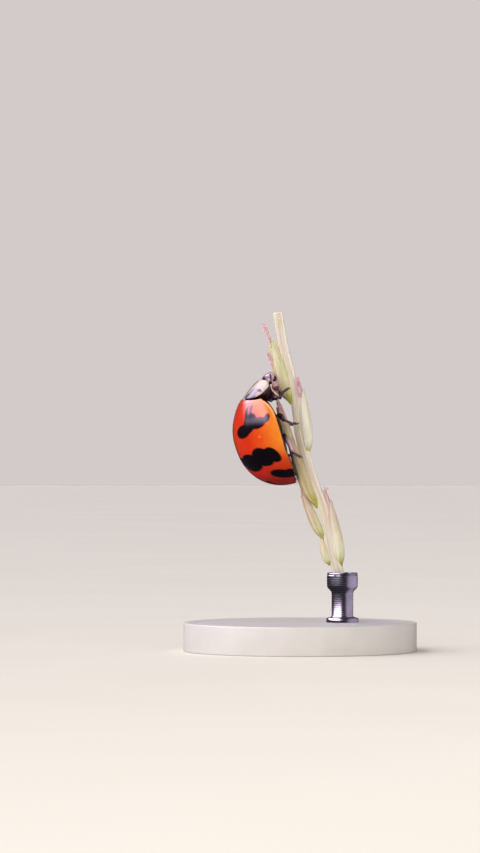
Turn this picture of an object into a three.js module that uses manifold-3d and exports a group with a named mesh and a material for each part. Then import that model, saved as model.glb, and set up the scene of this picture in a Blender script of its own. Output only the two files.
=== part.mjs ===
// A ladybird at rest on a length of grass spike, life size, held by a small display stand.
// Millimetres, +Z up. The origin is the middle of the stand's underside.
// The ladybird is modelled in its own frame (x its right, y forward, z its back) and then turned
// onto the spike: head up, belly to the stem, right side to -Y.

import * as THREE from "three";
import { mergeVertices } from "three/addons/utils/BufferGeometryUtils.js";
import Module from "manifold-3d";

const wasm = await Module();
wasm.setup();

// ---------------------------------------------------------------- driving dimensions

const JOINT_GAP = 0.03; // clear space between neighbouring pieces
const LIMB_SIDES = 8;

// Where the ladybird sits on the spike.
const BODY_PLACE = new THREE.Vector3(-1.43, -0.2, 12.05); // middle of the body at the level of the wing-case margins
const BODY_LEAN_DEG = 16.5; // how far the head leans to -X from straight up
const BODY_ROLL_DEG = 8; // how far the back turns to -Y

// Wing cases (elytra), one dome cut along the middle.
const CASE_HALF_WIDTH = 2.42;
const CASE_HEIGHT = 2.31; // top of the dome over the widest margin
const CASE_WIDEST_Y = 0.3;
const CASE_TOP_Y = 0.1;
const CASE_FRONT_Y = 2.33;
const CASE_APEX_Y = -2.92;
const CASE_SHOULDER_BACK = 0.26; // how far the front edge sweeps back at the shoulders
const CASE_THICKNESS = 0.5;
const FRONT_TAPER_LENGTH = 2.75; // the plan would close this far ahead of its widest line
const FRONT_TAPER_POWER = 2.25;
const REAR_TAPER_POWER = 2.2;
const TOP_REAR_POWER = 2.4;
const TOP_FRONT_FALL = 0.186; // fall of the crest ahead of its top, per square millimetre
const MARGIN_DROP_Y = -0.9; // behind this line the margin runs down to the apex
const MARGIN_DROP = 0.34;
const MARGIN_RISE_Y = 1.1; // ahead of this line it rises to the shoulder
const MARGIN_RISE = 0.3; // rise over the first millimetre
const MARGIN_RISE_POWER = 1.9;

// Scutellum, the small triangle between the fronts of the wing cases.
const SCUTELLUM_HALF_WIDTH = 0.26;
const SCUTELLUM_LENGTH = 0.42;

// Trunk under the wing cases.
const BELLY_DEPTH = 0.38; // below the margins, at the middle
const WAIST_Y = 0.12; // between abdomen and hind thorax
const THORAX_FRONT_Y = 2.12;
const THORAX_FRONT_SCALE = 0.72;

// Pronotum, the shield behind the head. It slopes down and forward, and s runs down its slope.
const SHIELD_SLOPE_DEG = 56;
const SHIELD_REAR_S = 0.32;
const SHIELD_FRONT_S = 1.83;
const SHIELD_LEVEL = 2.62; // its middle's distance from the body's middle, square to the slope
const SHIELD_HALF_WIDTH = 1.62;
const SHIELD_REAR_SWEEP = 0.56; // how much further forward the rear edge lies at the sides
const SHIELD_CORNER_REACH = 0.16; // how far the front corners pass the middle of the front edge
const SHIELD_SIDE_FALL = 0.19; // fall towards the sides, per square millimetre
const SHIELD_CROWN = 0.05;
const SHIELD_THICKNESS = 0.45;
const SHIELD_EDGE_THICKNESS = 0.3;

// Prothorax, under the shield.
const PROTHORAX_CENTRE = new THREE.Vector3(0, 2.42, 0.02);
const PROTHORAX_RADII = new THREE.Vector3(1.22, 0.62, 0.66);

// Head, bent down: its face looks at the stem and its mouth points back. Stations from crown to mouth.
const HEAD_STATIONS = [
  // [y, half width, face z, top z]
  [3.39, 0.34, -0.84, -0.58],
  [3.3, 0.62, -0.94, -0.34],
  [3.1, 0.84, -1.02, -0.2],
  [2.82, 0.9, -1.06, -0.2],
  [2.55, 0.8, -1.04, -0.3],
  [2.3, 0.58, -1.0, -0.42],
  [2.12, 0.46, -0.95, -0.5],
];
const MOUTH_STATIONS = [
  [2.09, 0.36, -0.92, -0.56],
  [1.98, 0.34, -0.87, -0.54],
  [1.86, 0.2, -0.8, -0.56],
];
const EYE_PLACE = new THREE.Vector3(0.78, 2.95, -0.76);
const EYE_RADII = new THREE.Vector3(0.17, 0.21, 0.15);

// Feelers and mouth palps, drawn stout.
const ANTENNA_ROUTE = [
  [0.94, 2.6, -0.46],
  [1.1, 2.42, -0.5],
  [1.1, 2.08, -0.7],
];
const ANTENNA_RADIUS = 0.19;
const PALP_ROUTE = [
  [0.56, 2.2, -0.86],
  [0.78, 2.42, -0.82],
];
const PALP_RADIUS = 0.18;

// Legs of the right side: hip, knee, ankle and claws. The left legs mirror them.
const LEGS = {
  fore: [[0.52, 2.2, -0.1], [1.05, 1.88, -0.56], [0.74, 2.13, -1.05], [0.4, 2.26, -1.49]],
  mid: [[0.62, 1.0, -0.42], [1.45, 0.62, -0.54], [0.88, 0.32, -0.98], [0.44, 0.22, -1.4]],
  hind: [[0.5, -0.1, -0.42], [1.32, -1.26, -0.52], [0.84, -1.45, -0.78], [0.42, -1.62, -1.02]],
};
const FEMUR_RADII = [0.17, 0.22, 0.2]; // at the hip, the middle and the knee
const TIBIA_RADII = [0.19, 0.19, 0.2];
const TARSUS_RADII = [0.19, 0.2, 0.19];

// Grass spike: its flattened stem (rachis) in the XZ plane, from the lower cut to the upper one.
const RACHIS_ROUTE = [
  [2.29, 3.95],
  [1.73, 5.63],
  [1.3, 7.9],
  [0.64, 9.8],
  [-0.03, 12.1],
  [-0.26, 14.2],
  [-0.89, 16.8],
  [-1.25, 18.88],
];
const RACHIS_HALF_WIDTH = 0.27;
const RACHIS_HALF_DEPTH = 0.23;
const RACHIS_STEPS = 14;

// Spikelets: foot and tip in the XZ plane, the widths across and in depth, the outward bow and the depth's middle.
const SPIKELETS = {
  perch_spikelet_left_1: { foot: [-0.66, 13.7], tip: [-1.72, 17.6], width: 0.78, depth: 0.72, bow: -0.06, y: -0.02 },
  perch_spikelet_left_2: { foot: [-0.42, 11.2], tip: [-1.26, 14.02], width: 0.5, depth: 0.6, bow: 0.05, y: 0.06 },
  perch_spikelet_left_3: { foot: [0.82, 7.9], tip: [-0.78, 12.45], width: 0.66, depth: 0.7, bow: 0.02, y: -0.04 },
  perch_spikelet_left_4: { foot: [1.24, 6.12], tip: [-0.02, 9.2], width: 0.56, depth: 0.6, bow: 0.03, y: 0.03 },
  perch_spikelet_left_5: { foot: [1.5, 4.75], tip: [1.04, 6.3], width: 0.42, depth: 0.44, bow: 0.04, y: -0.05 },
  perch_spikelet_right_1: { foot: [0.52, 10.75], tip: [-0.1, 15.3], width: 0.6, depth: 0.64, bow: -0.02, y: 0.02 },
  perch_spikelet_right_2: { foot: [2.42, 4.55], tip: [1.38, 9.15], width: 0.58, depth: 0.62, bow: -0.03, y: -0.02 },
};
const SPIKELET_STEPS = 7;

// Display stand.
const BASE_RADIUS = 6.5;
const BASE_THICKNESS = 1.6;
const BASE_BEVEL = 0.25;
const ROD_PLACE_X = 2.36;
const ROD_RADIUS = 0.6;
const CUP_RADIUS = 0.86;
const CUP_BORE = 0.6;
const CUP_FLOOR_Z = 3.86;
const CUP_RIM_Z = 4.36;
const CUP_FOOT_Z = 3.3;

// ---------------------------------------------------------------- solids

/** A closed manifold solid from a three.js geometry. */
function solidOf(geometry) {
  const bare = geometry.clone();
  bare.deleteAttribute("normal");
  bare.deleteAttribute("uv");
  const merged = mergeVertices(bare, 1e-6);
  const mesh = new wasm.Mesh({
    numProp: 3,
    vertProperties: new Float32Array(merged.attributes.position.array),
    triVerts: new Uint32Array(merged.index.array),
  });
  return new wasm.Manifold(mesh);
}

/** The largest connected body of a solid, as a three.js geometry. */
function geometryOf(solid) {
  const bodies = solid.decompose();
  const largest = bodies.reduce((a, b) => (a.volume() > b.volume() ? a : b));
  const mesh = largest.getMesh();
  const geometry = new THREE.BufferGeometry();
  geometry.setAttribute("position", new THREE.BufferAttribute(new Float32Array(mesh.vertProperties), 3));
  geometry.setIndex(new THREE.BufferAttribute(new Uint32Array(mesh.triVerts), 1));
  geometry.computeVertexNormals();
  return geometry;
}

/** Turns a triangle list inside out when it encloses a negative volume. */
function facingOut(position, index) {
  const point = (i) => new THREE.Vector3().fromArray(position, 3 * i);
  let volume = 0;
  for (let k = 0; k < index.length; k += 3) {
    volume += point(index[k]).dot(point(index[k + 1]).cross(point(index[k + 2])));
  }
  return volume < 0 ? index.slice().reverse() : index;
}

/** A closed geometry through rings of equally many points, with a flat fan at each end. */
function loft(rings) {
  const sides = rings[0].length;
  const position = rings.flat().flatMap((p) => p.toArray());
  const index = [];
  for (let i = 0; i + 1 < rings.length; i++) {
    for (let j = 0; j < sides; j++) {
      const a = i * sides + j;
      const b = i * sides + ((j + 1) % sides);
      index.push(a, b, b + sides, a, b + sides, a + sides);
    }
  }
  const fan = (ring, first, turned) => {
    const middle = ring.reduce((sum, p) => sum.add(p), new THREE.Vector3()).divideScalar(sides);
    const hub = position.length / 3;
    position.push(...middle.toArray());
    for (let j = 0; j < sides; j++) {
      const a = first + j;
      const b = first + ((j + 1) % sides);
      index.push(...(turned ? [hub, b, a] : [hub, a, b]));
    }
  };
  fan(rings[0], 0, true);
  fan(rings[rings.length - 1], (rings.length - 1) * sides, false);
  const geometry = new THREE.BufferGeometry();
  geometry.setAttribute("position", new THREE.Float32BufferAttribute(position, 3));
  geometry.setIndex(facingOut(position, index));
  return geometry;
}

/** An ellipsoid solid. */
function ellipsoid(centre, radii, grow = 0) {
  const geometry = new THREE.SphereGeometry(1, 12, 8);
  geometry.scale(radii.x + grow, radii.y + grow, radii.z + grow);
  geometry.translate(centre.x, centre.y, centre.z);
  return solidOf(geometry);
}

/** A round ring of points square to a direction. */
function ringAcross(middle, along, radius) {
  const turn = new THREE.Quaternion().setFromUnitVectors(new THREE.Vector3(0, 0, 1), along);
  const ring = [];
  for (let j = 0; j < LIMB_SIDES; j++) {
    const angle = (2 * Math.PI * j) / LIMB_SIDES;
    const p = new THREE.Vector3(radius * Math.cos(angle), radius * Math.sin(angle), 0);
    ring.push(p.applyQuaternion(turn).add(middle));
  }
  return ring;
}

/** A straight limb with rounded ends, its radii spread evenly from one end to the other. */
function limb(from, to, radii, grow = 0) {
  const start = new THREE.Vector3(...from);
  const along = new THREE.Vector3(...to).sub(start);
  const length = along.length();
  along.normalize();
  const ends = [radii[0] + grow, radii[radii.length - 1] + grow];
  const stations = [[-0.8 * ends[0], 0.55 * ends[0]]];
  radii.forEach((r, i) => stations.push([(length * i) / (radii.length - 1), r + grow]));
  stations.push([length + 0.8 * ends[1], 0.55 * ends[1]]);
  return solidOf(loft(stations.map(([t, r]) => ringAcross(start.clone().addScaledVector(along, t), along, r))));
}

/** A block between two corners. */
function block(low, high) {
  const geometry = new THREE.BoxGeometry(high[0] - low[0], high[1] - low[1], high[2] - low[2]);
  geometry.translate((low[0] + high[0]) / 2, (low[1] + high[1]) / 2, (low[2] + high[2]) / 2);
  return solidOf(geometry);
}

// ---------------------------------------------------------------- wing cases and trunk

/** Half width of the wing-case dome at y, drawn in by inset. */
function caseHalfWidth(y, inset) {
  if (y > CASE_WIDEST_Y) {
    const u = (y - CASE_WIDEST_Y) / FRONT_TAPER_LENGTH;
    return (CASE_HALF_WIDTH - inset) * Math.sqrt(1 - u ** FRONT_TAPER_POWER);
  }
  const u = (CASE_WIDEST_Y - y) / (CASE_WIDEST_Y - CASE_APEX_Y - inset);
  return (CASE_HALF_WIDTH - inset) * Math.sqrt(Math.max(0, 1 - u ** REAR_TAPER_POWER));
}

/** Height of the margin at y. */
function marginHeight(y) {
  if (y > MARGIN_RISE_Y) {
    return MARGIN_RISE * (y - MARGIN_RISE_Y) ** MARGIN_RISE_POWER;
  }
  return -MARGIN_DROP * Math.max(0, (MARGIN_DROP_Y - y) / (MARGIN_DROP_Y - CASE_APEX_Y));
}

/** Height of the crest at y, drawn in by inset. */
function crestHeight(y, inset) {
  if (y > CASE_TOP_Y) {
    return CASE_HEIGHT - inset - TOP_FRONT_FALL * (y - CASE_TOP_Y) ** 2;
  }
  const u = (CASE_TOP_Y - y) / (CASE_TOP_Y - CASE_APEX_Y - inset);
  const rise = CASE_HEIGHT + MARGIN_DROP - inset;
  return -MARGIN_DROP + rise * Math.sqrt(Math.max(0, 1 - u ** TOP_REAR_POWER));
}

/** Stations from the apex to y = front, close together where the dome closes. */
function caseStations(inset, front) {
  const stations = [];
  const rear = CASE_WIDEST_Y - CASE_APEX_Y - inset;
  const rearSteps = 8;
  const frontSteps = 4;
  for (let i = 0; i < rearSteps; i++) {
    stations.push(CASE_WIDEST_Y - rear * Math.cos((0.035 + (0.965 * i) / rearSteps) * (Math.PI / 2)));
  }
  for (let i = 0; i <= frontSteps; i++) {
    stations.push(CASE_WIDEST_Y + ((front - CASE_WIDEST_Y) * i) / frontSteps);
  }
  return stations;
}

/** The dome as a solid: an arch at every station, closed below by floorDepth under the margins. */
function caseDome(inset, front, floorDepth, arcSteps = 10) {
  const rings = caseStations(inset, front).map((y) => {
    const half = caseHalfWidth(y, inset);
    const low = marginHeight(y);
    const rise = Math.max(crestHeight(y, inset) - low, 0.01);
    const sweep = Math.max(0, (y - 1.4) / (CASE_FRONT_Y - 1.4)) * CASE_SHOULDER_BACK;
    const ring = [];
    for (let j = 0; j <= arcSteps; j++) {
      const angle = (Math.PI * j) / arcSteps;
      const back = sweep * Math.abs(Math.cos(angle)) ** 4;
      ring.push(new THREE.Vector3(half * Math.cos(angle), y - back, low + rise * Math.sin(angle)));
    }
    ring.push(new THREE.Vector3(-0.98 * half, y, low - floorDepth), new THREE.Vector3(0.98 * half, y, low - floorDepth));
    return ring;
  });
  return solidOf(loft(rings));
}

const caseOuter = caseDome(0, CASE_FRONT_Y, 0.02, 20);
const caseHollow = caseDome(CASE_THICKNESS, CASE_FRONT_Y + 0.5, 1.2);
const caseShell = caseOuter.subtract(caseHollow);

/** The scutellum's upright prism, grown on all sides. */
function scutellumPrism(grow) {
  const triangle = new THREE.Shape();
  triangle.moveTo(-SCUTELLUM_HALF_WIDTH - grow, 0.1);
  triangle.lineTo(0, -SCUTELLUM_LENGTH - 2 * grow);
  triangle.lineTo(SCUTELLUM_HALF_WIDTH + grow, 0.1);
  triangle.closePath();
  const geometry = new THREE.ExtrudeGeometry(triangle, { depth: 2, bevelEnabled: false });
  geometry.translate(0, CASE_FRONT_Y, 0.3);
  return solidOf(geometry);
}

const scutellum = caseShell.intersect(scutellumPrism(0));
const casesRound = caseShell.subtract(scutellumPrism(JOINT_GAP));
const elytronRight = casesRound.intersect(block([JOINT_GAP / 2, -4, -2], [4, 4, 4]));
const elytronLeft = casesRound.intersect(block([-4, -4, -2], [-JOINT_GAP / 2, 4, 4]));

/** The trunk that fills the wing cases between two stations, with its rounded belly. */
function trunk(rear, front) {
  const inset = CASE_THICKNESS + JOINT_GAP;
  const steps = 20;
  const stations = caseStations(inset + 0.02, THORAX_FRONT_Y).filter((y) => y > rear && y < front);
  if (rear > CASE_APEX_Y) {
    stations.unshift(rear);
  }
  stations.push(front);
  const rings = stations.map((y) => {
    const narrowing = Math.max(0, (y - 1.3) / (THORAX_FRONT_Y - 1.3));
    const scale = 1 - (1 - THORAX_FRONT_SCALE) * narrowing;
    const half = caseHalfWidth(y, inset) * scale;
    const low = marginHeight(y) - 0.06;
    const rise = Math.max(crestHeight(y, inset) - low, 0.01) * scale;
    const belly = BELLY_DEPTH * Math.min(1, half / 1.2);
    const ring = [];
    for (let j = 0; j < steps; j++) {
      const angle = (2 * Math.PI * j) / steps;
      const height = Math.sin(angle) > 0 ? rise : belly;
      ring.push(new THREE.Vector3(half * Math.cos(angle), y, low + height * Math.sin(angle)));
    }
    return ring;
  });
  return solidOf(loft(rings));
}

// ---------------------------------------------------------------- pronotum and head

/** A point of the shield: x across, s down its slope, n above the body's middle. */
function shieldPoint(x, s, n) {
  const slope = THREE.MathUtils.degToRad(SHIELD_SLOPE_DEG);
  return new THREE.Vector3(
    x,
    s * Math.cos(slope) + n * Math.sin(slope),
    n * Math.cos(slope) - s * Math.sin(slope),
  );
}

/** The shield as a curved plate, thinner at its sides. */
function shield(grow) {
  const columns = 12;
  const rows = 3;
  const rings = [];
  for (let i = 0; i <= columns; i++) {
    const across = -1 + (2 * i) / columns;
    const x = (SHIELD_HALF_WIDTH + grow) * Math.sin((across * Math.PI) / 2);
    const side = Math.abs(x) / SHIELD_HALF_WIDTH;
    const rear = SHIELD_REAR_S + SHIELD_REAR_SWEEP * side ** 2 + 0.2 * side ** 8 - grow;
    const reach = SHIELD_CORNER_REACH * Math.min(1, side / 0.8) ** 2;
    const front = SHIELD_FRONT_S + reach - 0.5 * Math.max(0, side - 0.8) / 0.2 * 0.9 * side ** 6 + grow;
    const thickness = THREE.MathUtils.lerp(SHIELD_THICKNESS, SHIELD_EDGE_THICKNESS, side ** 3) + 2 * grow;
    const level = (s) => {
      const crown = SHIELD_CROWN * (1 - ((s - 1.1) / 0.75) ** 2);
      return SHIELD_LEVEL + crown - SHIELD_SIDE_FALL * x * x + grow;
    };
    const upper = [];
    const lower = [];
    for (let j = 0; j <= rows; j++) {
      const s = THREE.MathUtils.lerp(rear, front, j / rows);
      upper.push(shieldPoint(x, s, level(s)));
      lower.unshift(shieldPoint(x, s, level(s) - thickness));
    }
    rings.push([...upper, ...lower]);
  }
  return solidOf(loft(rings));
}

/** Elliptic rings through stations of [y, half width, low z, high z]. */
function headPiece(stations, grow) {
  const steps = 14;
  const last = stations.length - 1;
  const rings = stations.map(([y, half, low, high], i) => {
    const shift = i === 0 ? grow : i === last ? -grow : 0;
    const ring = [];
    for (let j = 0; j < steps; j++) {
      const angle = (2 * Math.PI * j) / steps;
      const across = (half + grow) * Math.cos(angle);
      const up = (low + high) / 2 + ((high - low) / 2 + grow) * Math.sin(angle);
      ring.push(new THREE.Vector3(across, y + shift, up));
    }
    return ring;
  });
  return solidOf(loft(rings));
}

/** A round feeler along a smooth curve, with rounded ends. */
function feeler(route, radius, grow) {
  const curve = new THREE.CatmullRomCurve3(route.map((p) => new THREE.Vector3(...p)));
  const steps = 4;
  const stations = [[0, -0.8, 0.55], [1, 0.8, 0.55]];
  for (let i = 0; i <= steps; i++) {
    stations.push([i / steps, 0, 1]);
  }
  stations.sort((a, b) => a[0] + a[1] - b[0] - b[1]);
  const rings = stations.map(([t, past, scale]) => {
    const along = curve.getTangentAt(t);
    const middle = curve.getPointAt(t).addScaledVector(along, past * (radius + grow));
    return ringAcross(middle, along, scale * (radius + grow));
  });
  return solidOf(loft(rings));
}

const mirrored = (route) => route.map(([x, y, z]) => [-x, y, z]);
const mirroredPoint = (p) => new THREE.Vector3(-p.x, p.y, p.z);

// ---------------------------------------------------------------- grass spike

/** The rachis, a flattened stem swept through its route. */
function rachis(grow) {
  const curve = new THREE.CatmullRomCurve3(RACHIS_ROUTE.map(([x, z]) => new THREE.Vector3(x, 0, z)));
  const sides = 8;
  const rings = [];
  for (let i = 0; i <= RACHIS_STEPS; i++) {
    const t = i / RACHIS_STEPS;
    const middle = curve.getPointAt(t);
    const along = curve.getTangentAt(t);
    const across = new THREE.Vector3(along.z, 0, -along.x);
    if (grow > 0 && (i === 0 || i === RACHIS_STEPS)) {
      middle.addScaledVector(along, i === 0 ? -grow : grow);
    }
    const ring = [];
    for (let j = 0; j < sides; j++) {
      const angle = (2 * Math.PI * j) / sides;
      const p = middle.clone().addScaledVector(across, (RACHIS_HALF_WIDTH + grow) * Math.cos(angle));
      p.y += (RACHIS_HALF_DEPTH + grow) * Math.sin(angle);
      ring.push(p);
    }
    rings.push(ring);
  }
  return solidOf(loft(rings));
}

/** A spikelet: a lance-shaped husk, widest below its middle. */
function spikelet({ foot, tip, width, depth, bow, y }, grow) {
  const start = new THREE.Vector3(foot[0], y, foot[1]);
  const end = new THREE.Vector3(tip[0], y, tip[1]);
  const along = end.clone().sub(start).normalize();
  const out = new THREE.Vector3(-along.z, 0, along.x);
  const sides = 8;
  const rings = [];
  for (let i = 0; i <= SPIKELET_STEPS; i++) {
    const t = i / SPIKELET_STEPS;
    const fullness = 0.25 + 0.75 * Math.sin(Math.PI * t ** 0.7);
    const middle = start.clone().lerp(end, t).addScaledVector(out, bow * Math.sin(Math.PI * t));
    middle.addScaledVector(along, (t === 0 ? -grow : 0) + (t === 1 ? grow : 0));
    const ring = [];
    for (let j = 0; j < sides; j++) {
      const angle = (2 * Math.PI * j) / sides;
      const p = middle.clone().addScaledVector(out, ((width / 2) * fullness + grow) * Math.cos(angle));
      p.y += ((depth / 2) * fullness + grow) * Math.sin(angle);
      ring.push(p);
    }
    rings.push(ring);
  }
  return solidOf(loft(rings));
}

// ---------------------------------------------------------------- materials

const finish = (color, roughness, metalness = 0) => () =>
  new THREE.MeshStandardMaterial({ color, roughness, metalness });
const wingCase = finish(0xe0480f, 0.2);
const shieldCream = finish(0xeee0cf, 0.25);
const headCream = finish(0xd9c2b8, 0.3);
const eyeBlack = finish(0x0c0a0c, 0.15);
const darkShell = finish(0x2b171c, 0.35);
const feelerBrown = finish(0xb08668, 0.45);
const stemStraw = finish(0xcfc3b2, 0.7);
const huskGreen = finish(0xd2cda0, 0.65);
const standBase = finish(0xd9d6d0, 0.5);
const standSteel = finish(0xb9bbbd, 0.3, 1);

// ---------------------------------------------------------------- assembly

const model = new THREE.Group();

/** Adds a solid to a group as a named mesh. */
function place(group, name, solid, material) {
  const mesh = new THREE.Mesh(geometryOf(solid), material());
  mesh.name = name;
  group.add(mesh);
}

// The ladybird's own frame.
const lean = THREE.MathUtils.degToRad(BODY_LEAN_DEG);
const roll = THREE.MathUtils.degToRad(BODY_ROLL_DEG);
const forward = new THREE.Vector3(-Math.sin(lean), 0, Math.cos(lean));
const dorsal = new THREE.Vector3(-Math.cos(lean), 0, -Math.sin(lean));
dorsal.applyAxisAngle(forward, -roll);
const rightward = new THREE.Vector3().crossVectors(forward, dorsal);
const beetleTurn = new THREE.Matrix4().makeBasis(rightward, forward, dorsal);
const beetle = new THREE.Group();
beetle.position.copy(BODY_PLACE);
beetle.quaternion.setFromRotationMatrix(beetleTurn);
model.add(beetle);
const intoBeetle = new THREE.Matrix4().copy(beetleTurn).setPosition(BODY_PLACE).invert();

/** Everything of the spike, in the ladybird's frame, a gap larger than life. */
function spikeInBeetle() {
  let whole = rachis(JOINT_GAP);
  for (const size of Object.values(SPIKELETS)) {
    whole = whole.add(spikelet(size, JOINT_GAP));
  }
  return whole.transform(intoBeetle.toArray());
}
const spikeClear = spikeInBeetle();

/** Adds a piece of the ladybird, cut clear of the spike. */
function placeOnBeetle(name, solid, material) {
  place(beetle, name, solid.subtract(spikeClear), material);
}

placeOnBeetle("elytron_right", elytronRight, wingCase);
placeOnBeetle("elytron_left", elytronLeft, wingCase);
placeOnBeetle("scutellum", scutellum, darkShell);

const pronotum = shield(0).subtract(caseDome(-JOINT_GAP, CASE_FRONT_Y + JOINT_GAP, 0.3));
placeOnBeetle("pronotum", pronotum, shieldCream);

const eyes = { right: EYE_PLACE, left: mirroredPoint(EYE_PLACE) };
let head = headPiece(HEAD_STATIONS, 0).subtract(shield(JOINT_GAP));
for (const [side, centre] of Object.entries(eyes)) {
  placeOnBeetle(`eye_${side}`, ellipsoid(centre, EYE_RADII), eyeBlack);
  head = head.subtract(ellipsoid(centre, EYE_RADII, 0.02));
}

const sides = { right: (route) => route, left: mirrored };

/** The pieces of one leg, each grown on all sides. */
function legPieces(route, grow) {
  const [hip, knee, ankle, claws] = route;
  return {
    femur: limb(hip, knee, FEMUR_RADII, grow),
    tibia: limb(knee, ankle, TIBIA_RADII, grow),
    tarsus: limb(ankle, claws, TARSUS_RADII, grow),
  };
}

/** The room that all the legs of a side take up. */
function legRoom(turned) {
  const pieces = Object.values(LEGS).flatMap((route) => Object.values(legPieces(turned(route), JOINT_GAP)));
  return pieces.reduce((whole, piece) => whole.add(piece));
}

for (const [side, turned] of Object.entries(sides)) {
  const antennaRoute = turned(ANTENNA_ROUTE);
  const palpRoute = turned(PALP_ROUTE);
  const room = legRoom(turned);
  const antenna = feeler(antennaRoute, ANTENNA_RADIUS, 0).subtract(room);
  const palp = feeler(palpRoute, PALP_RADIUS, 0).subtract(feeler(antennaRoute, ANTENNA_RADIUS, JOINT_GAP));
  placeOnBeetle(`antenna_${side}`, antenna, feelerBrown);
  placeOnBeetle(`palp_${side}`, palp.subtract(room), darkShell);
  head = head.subtract(feeler(antennaRoute, ANTENNA_RADIUS, JOINT_GAP));
  head = head.subtract(feeler(palpRoute, PALP_RADIUS, JOINT_GAP));
}

let mouth = headPiece(MOUTH_STATIONS, 0);
for (const turned of Object.values(sides)) {
  mouth = mouth.subtract(feeler(turned(PALP_ROUTE), PALP_RADIUS, JOINT_GAP));
  mouth = mouth.subtract(feeler(turned(ANTENNA_ROUTE), ANTENNA_RADIUS, JOINT_GAP));
}

// Legs: each piece is cut where the piece before it ends.
let prothorax = ellipsoid(PROTHORAX_CENTRE, PROTHORAX_RADII);
let thorax = trunk(WAIST_Y + JOINT_GAP, THORAX_FRONT_Y);
let abdomen = trunk(CASE_APEX_Y, WAIST_Y);
for (const [side, turned] of Object.entries(sides)) {
  for (const [pair, route] of Object.entries(LEGS)) {
    const leg = legPieces(turned(route), 0);
    const room = legPieces(turned(route), JOINT_GAP);
    const tibia = leg.tibia.subtract(room.femur);
    const tarsus = leg.tarsus.subtract(room.tibia).subtract(room.femur);
    placeOnBeetle(`leg_${pair}_${side}_femur`, leg.femur, darkShell);
    placeOnBeetle(`leg_${pair}_${side}_tibia`, tibia, darkShell);
    placeOnBeetle(`leg_${pair}_${side}_tarsus`, tarsus, darkShell);
  }
  const room = legRoom(turned);
  prothorax = prothorax.subtract(room);
  thorax = thorax.subtract(room);
  abdomen = abdomen.subtract(room);
  head = head.subtract(room);
  mouth = mouth.subtract(room);
}
placeOnBeetle("head", head, headCream);
placeOnBeetle("mouthparts", mouth, darkShell);

for (const turned of Object.values(sides)) {
  prothorax = prothorax.subtract(feeler(turned(ANTENNA_ROUTE), ANTENNA_RADIUS, JOINT_GAP));
}
prothorax = prothorax
  .subtract(shield(JOINT_GAP))
  .subtract(headPiece(HEAD_STATIONS, JOINT_GAP))
  .subtract(caseDome(-JOINT_GAP, CASE_FRONT_Y + JOINT_GAP, 0.02).subtract(caseDome(CASE_THICKNESS + JOINT_GAP, CASE_FRONT_Y + 0.5, 1.2)))
  .subtract(block([-3, 0, -3], [3, THORAX_FRONT_Y + JOINT_GAP, 3]));
placeOnBeetle("prothorax", prothorax, darkShell);
placeOnBeetle("thorax", thorax, darkShell);
placeOnBeetle("abdomen", abdomen, darkShell);

// The spike: every spikelet is cut to the stem, and to the spikelets made before it.
const stem = rachis(0);
place(model, "perch_stem", stem, stemStraw);
let taken = rachis(JOINT_GAP);
for (const [name, size] of Object.entries(SPIKELETS)) {
  place(model, name, spikelet(size, 0).subtract(taken), huskGreen);
  taken = taken.add(spikelet(size, JOINT_GAP));
}

// The stand: a bevelled disc, and a rod whose cup holds the foot of the spike.
const discProfile = [
  [0, 0],
  [BASE_RADIUS, 0],
  [BASE_RADIUS, BASE_THICKNESS - BASE_BEVEL],
  [BASE_RADIUS - BASE_BEVEL, BASE_THICKNESS],
  [0, BASE_THICKNESS],
];
const rodProfile = [
  [0, BASE_THICKNESS + JOINT_GAP],
  [ROD_RADIUS, BASE_THICKNESS + JOINT_GAP],
  [ROD_RADIUS, CUP_FOOT_Z],
  [CUP_RADIUS, CUP_FOOT_Z + 0.3],
  [CUP_RADIUS, CUP_RIM_Z],
  [CUP_BORE, CUP_RIM_Z],
  [CUP_BORE, CUP_FLOOR_Z],
  [0, CUP_FLOOR_Z],
];

/** A turned solid about an upright axis at x. */
function turnedSolid(profile, x, segments) {
  const geometry = new THREE.LatheGeometry(profile.map(([r, z]) => new THREE.Vector2(r, z)), segments);
  geometry.rotateX(Math.PI / 2);
  geometry.translate(x, 0, 0);
  return solidOf(geometry);
}
place(model, "stand_base", turnedSolid(discProfile, 0, 48), standBase);
place(model, "stand_rod", turnedSolid(rodProfile, ROD_PLACE_X, 20), standSteel);

export default model;
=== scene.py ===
import bisect
import math
import random

import bmesh
import bpy
from mathutils import Matrix, Vector


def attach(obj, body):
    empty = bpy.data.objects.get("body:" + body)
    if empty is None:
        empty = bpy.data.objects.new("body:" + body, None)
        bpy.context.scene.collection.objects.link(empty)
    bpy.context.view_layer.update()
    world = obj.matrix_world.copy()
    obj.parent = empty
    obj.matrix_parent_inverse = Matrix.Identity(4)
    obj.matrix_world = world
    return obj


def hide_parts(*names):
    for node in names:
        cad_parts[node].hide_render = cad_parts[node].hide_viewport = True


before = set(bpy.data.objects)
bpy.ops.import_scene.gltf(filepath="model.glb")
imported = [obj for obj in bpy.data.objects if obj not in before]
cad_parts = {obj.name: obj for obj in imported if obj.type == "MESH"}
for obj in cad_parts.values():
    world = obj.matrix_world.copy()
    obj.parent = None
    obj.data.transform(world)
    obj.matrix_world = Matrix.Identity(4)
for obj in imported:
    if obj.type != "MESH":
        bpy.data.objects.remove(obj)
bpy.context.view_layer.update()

bl_info = {
    "name": "Ladybird on a grass spike",
    "version": (1, 0, 0),
    "blender": (4, 5, 0),
    "location": "3D View > Sidebar > Ladybird",
    "description": "A life-size display model of a ladybird that climbs a grass spike",
    "category": "Add Mesh",
}

MM = 0.001
MICRON = 0.000001
# Points closer than this, in millimetres, are one point.
MERGE_REACH = 1e-4
# How wide one bristle lies on the OFBake map.
PATCH = 0.003

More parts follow.
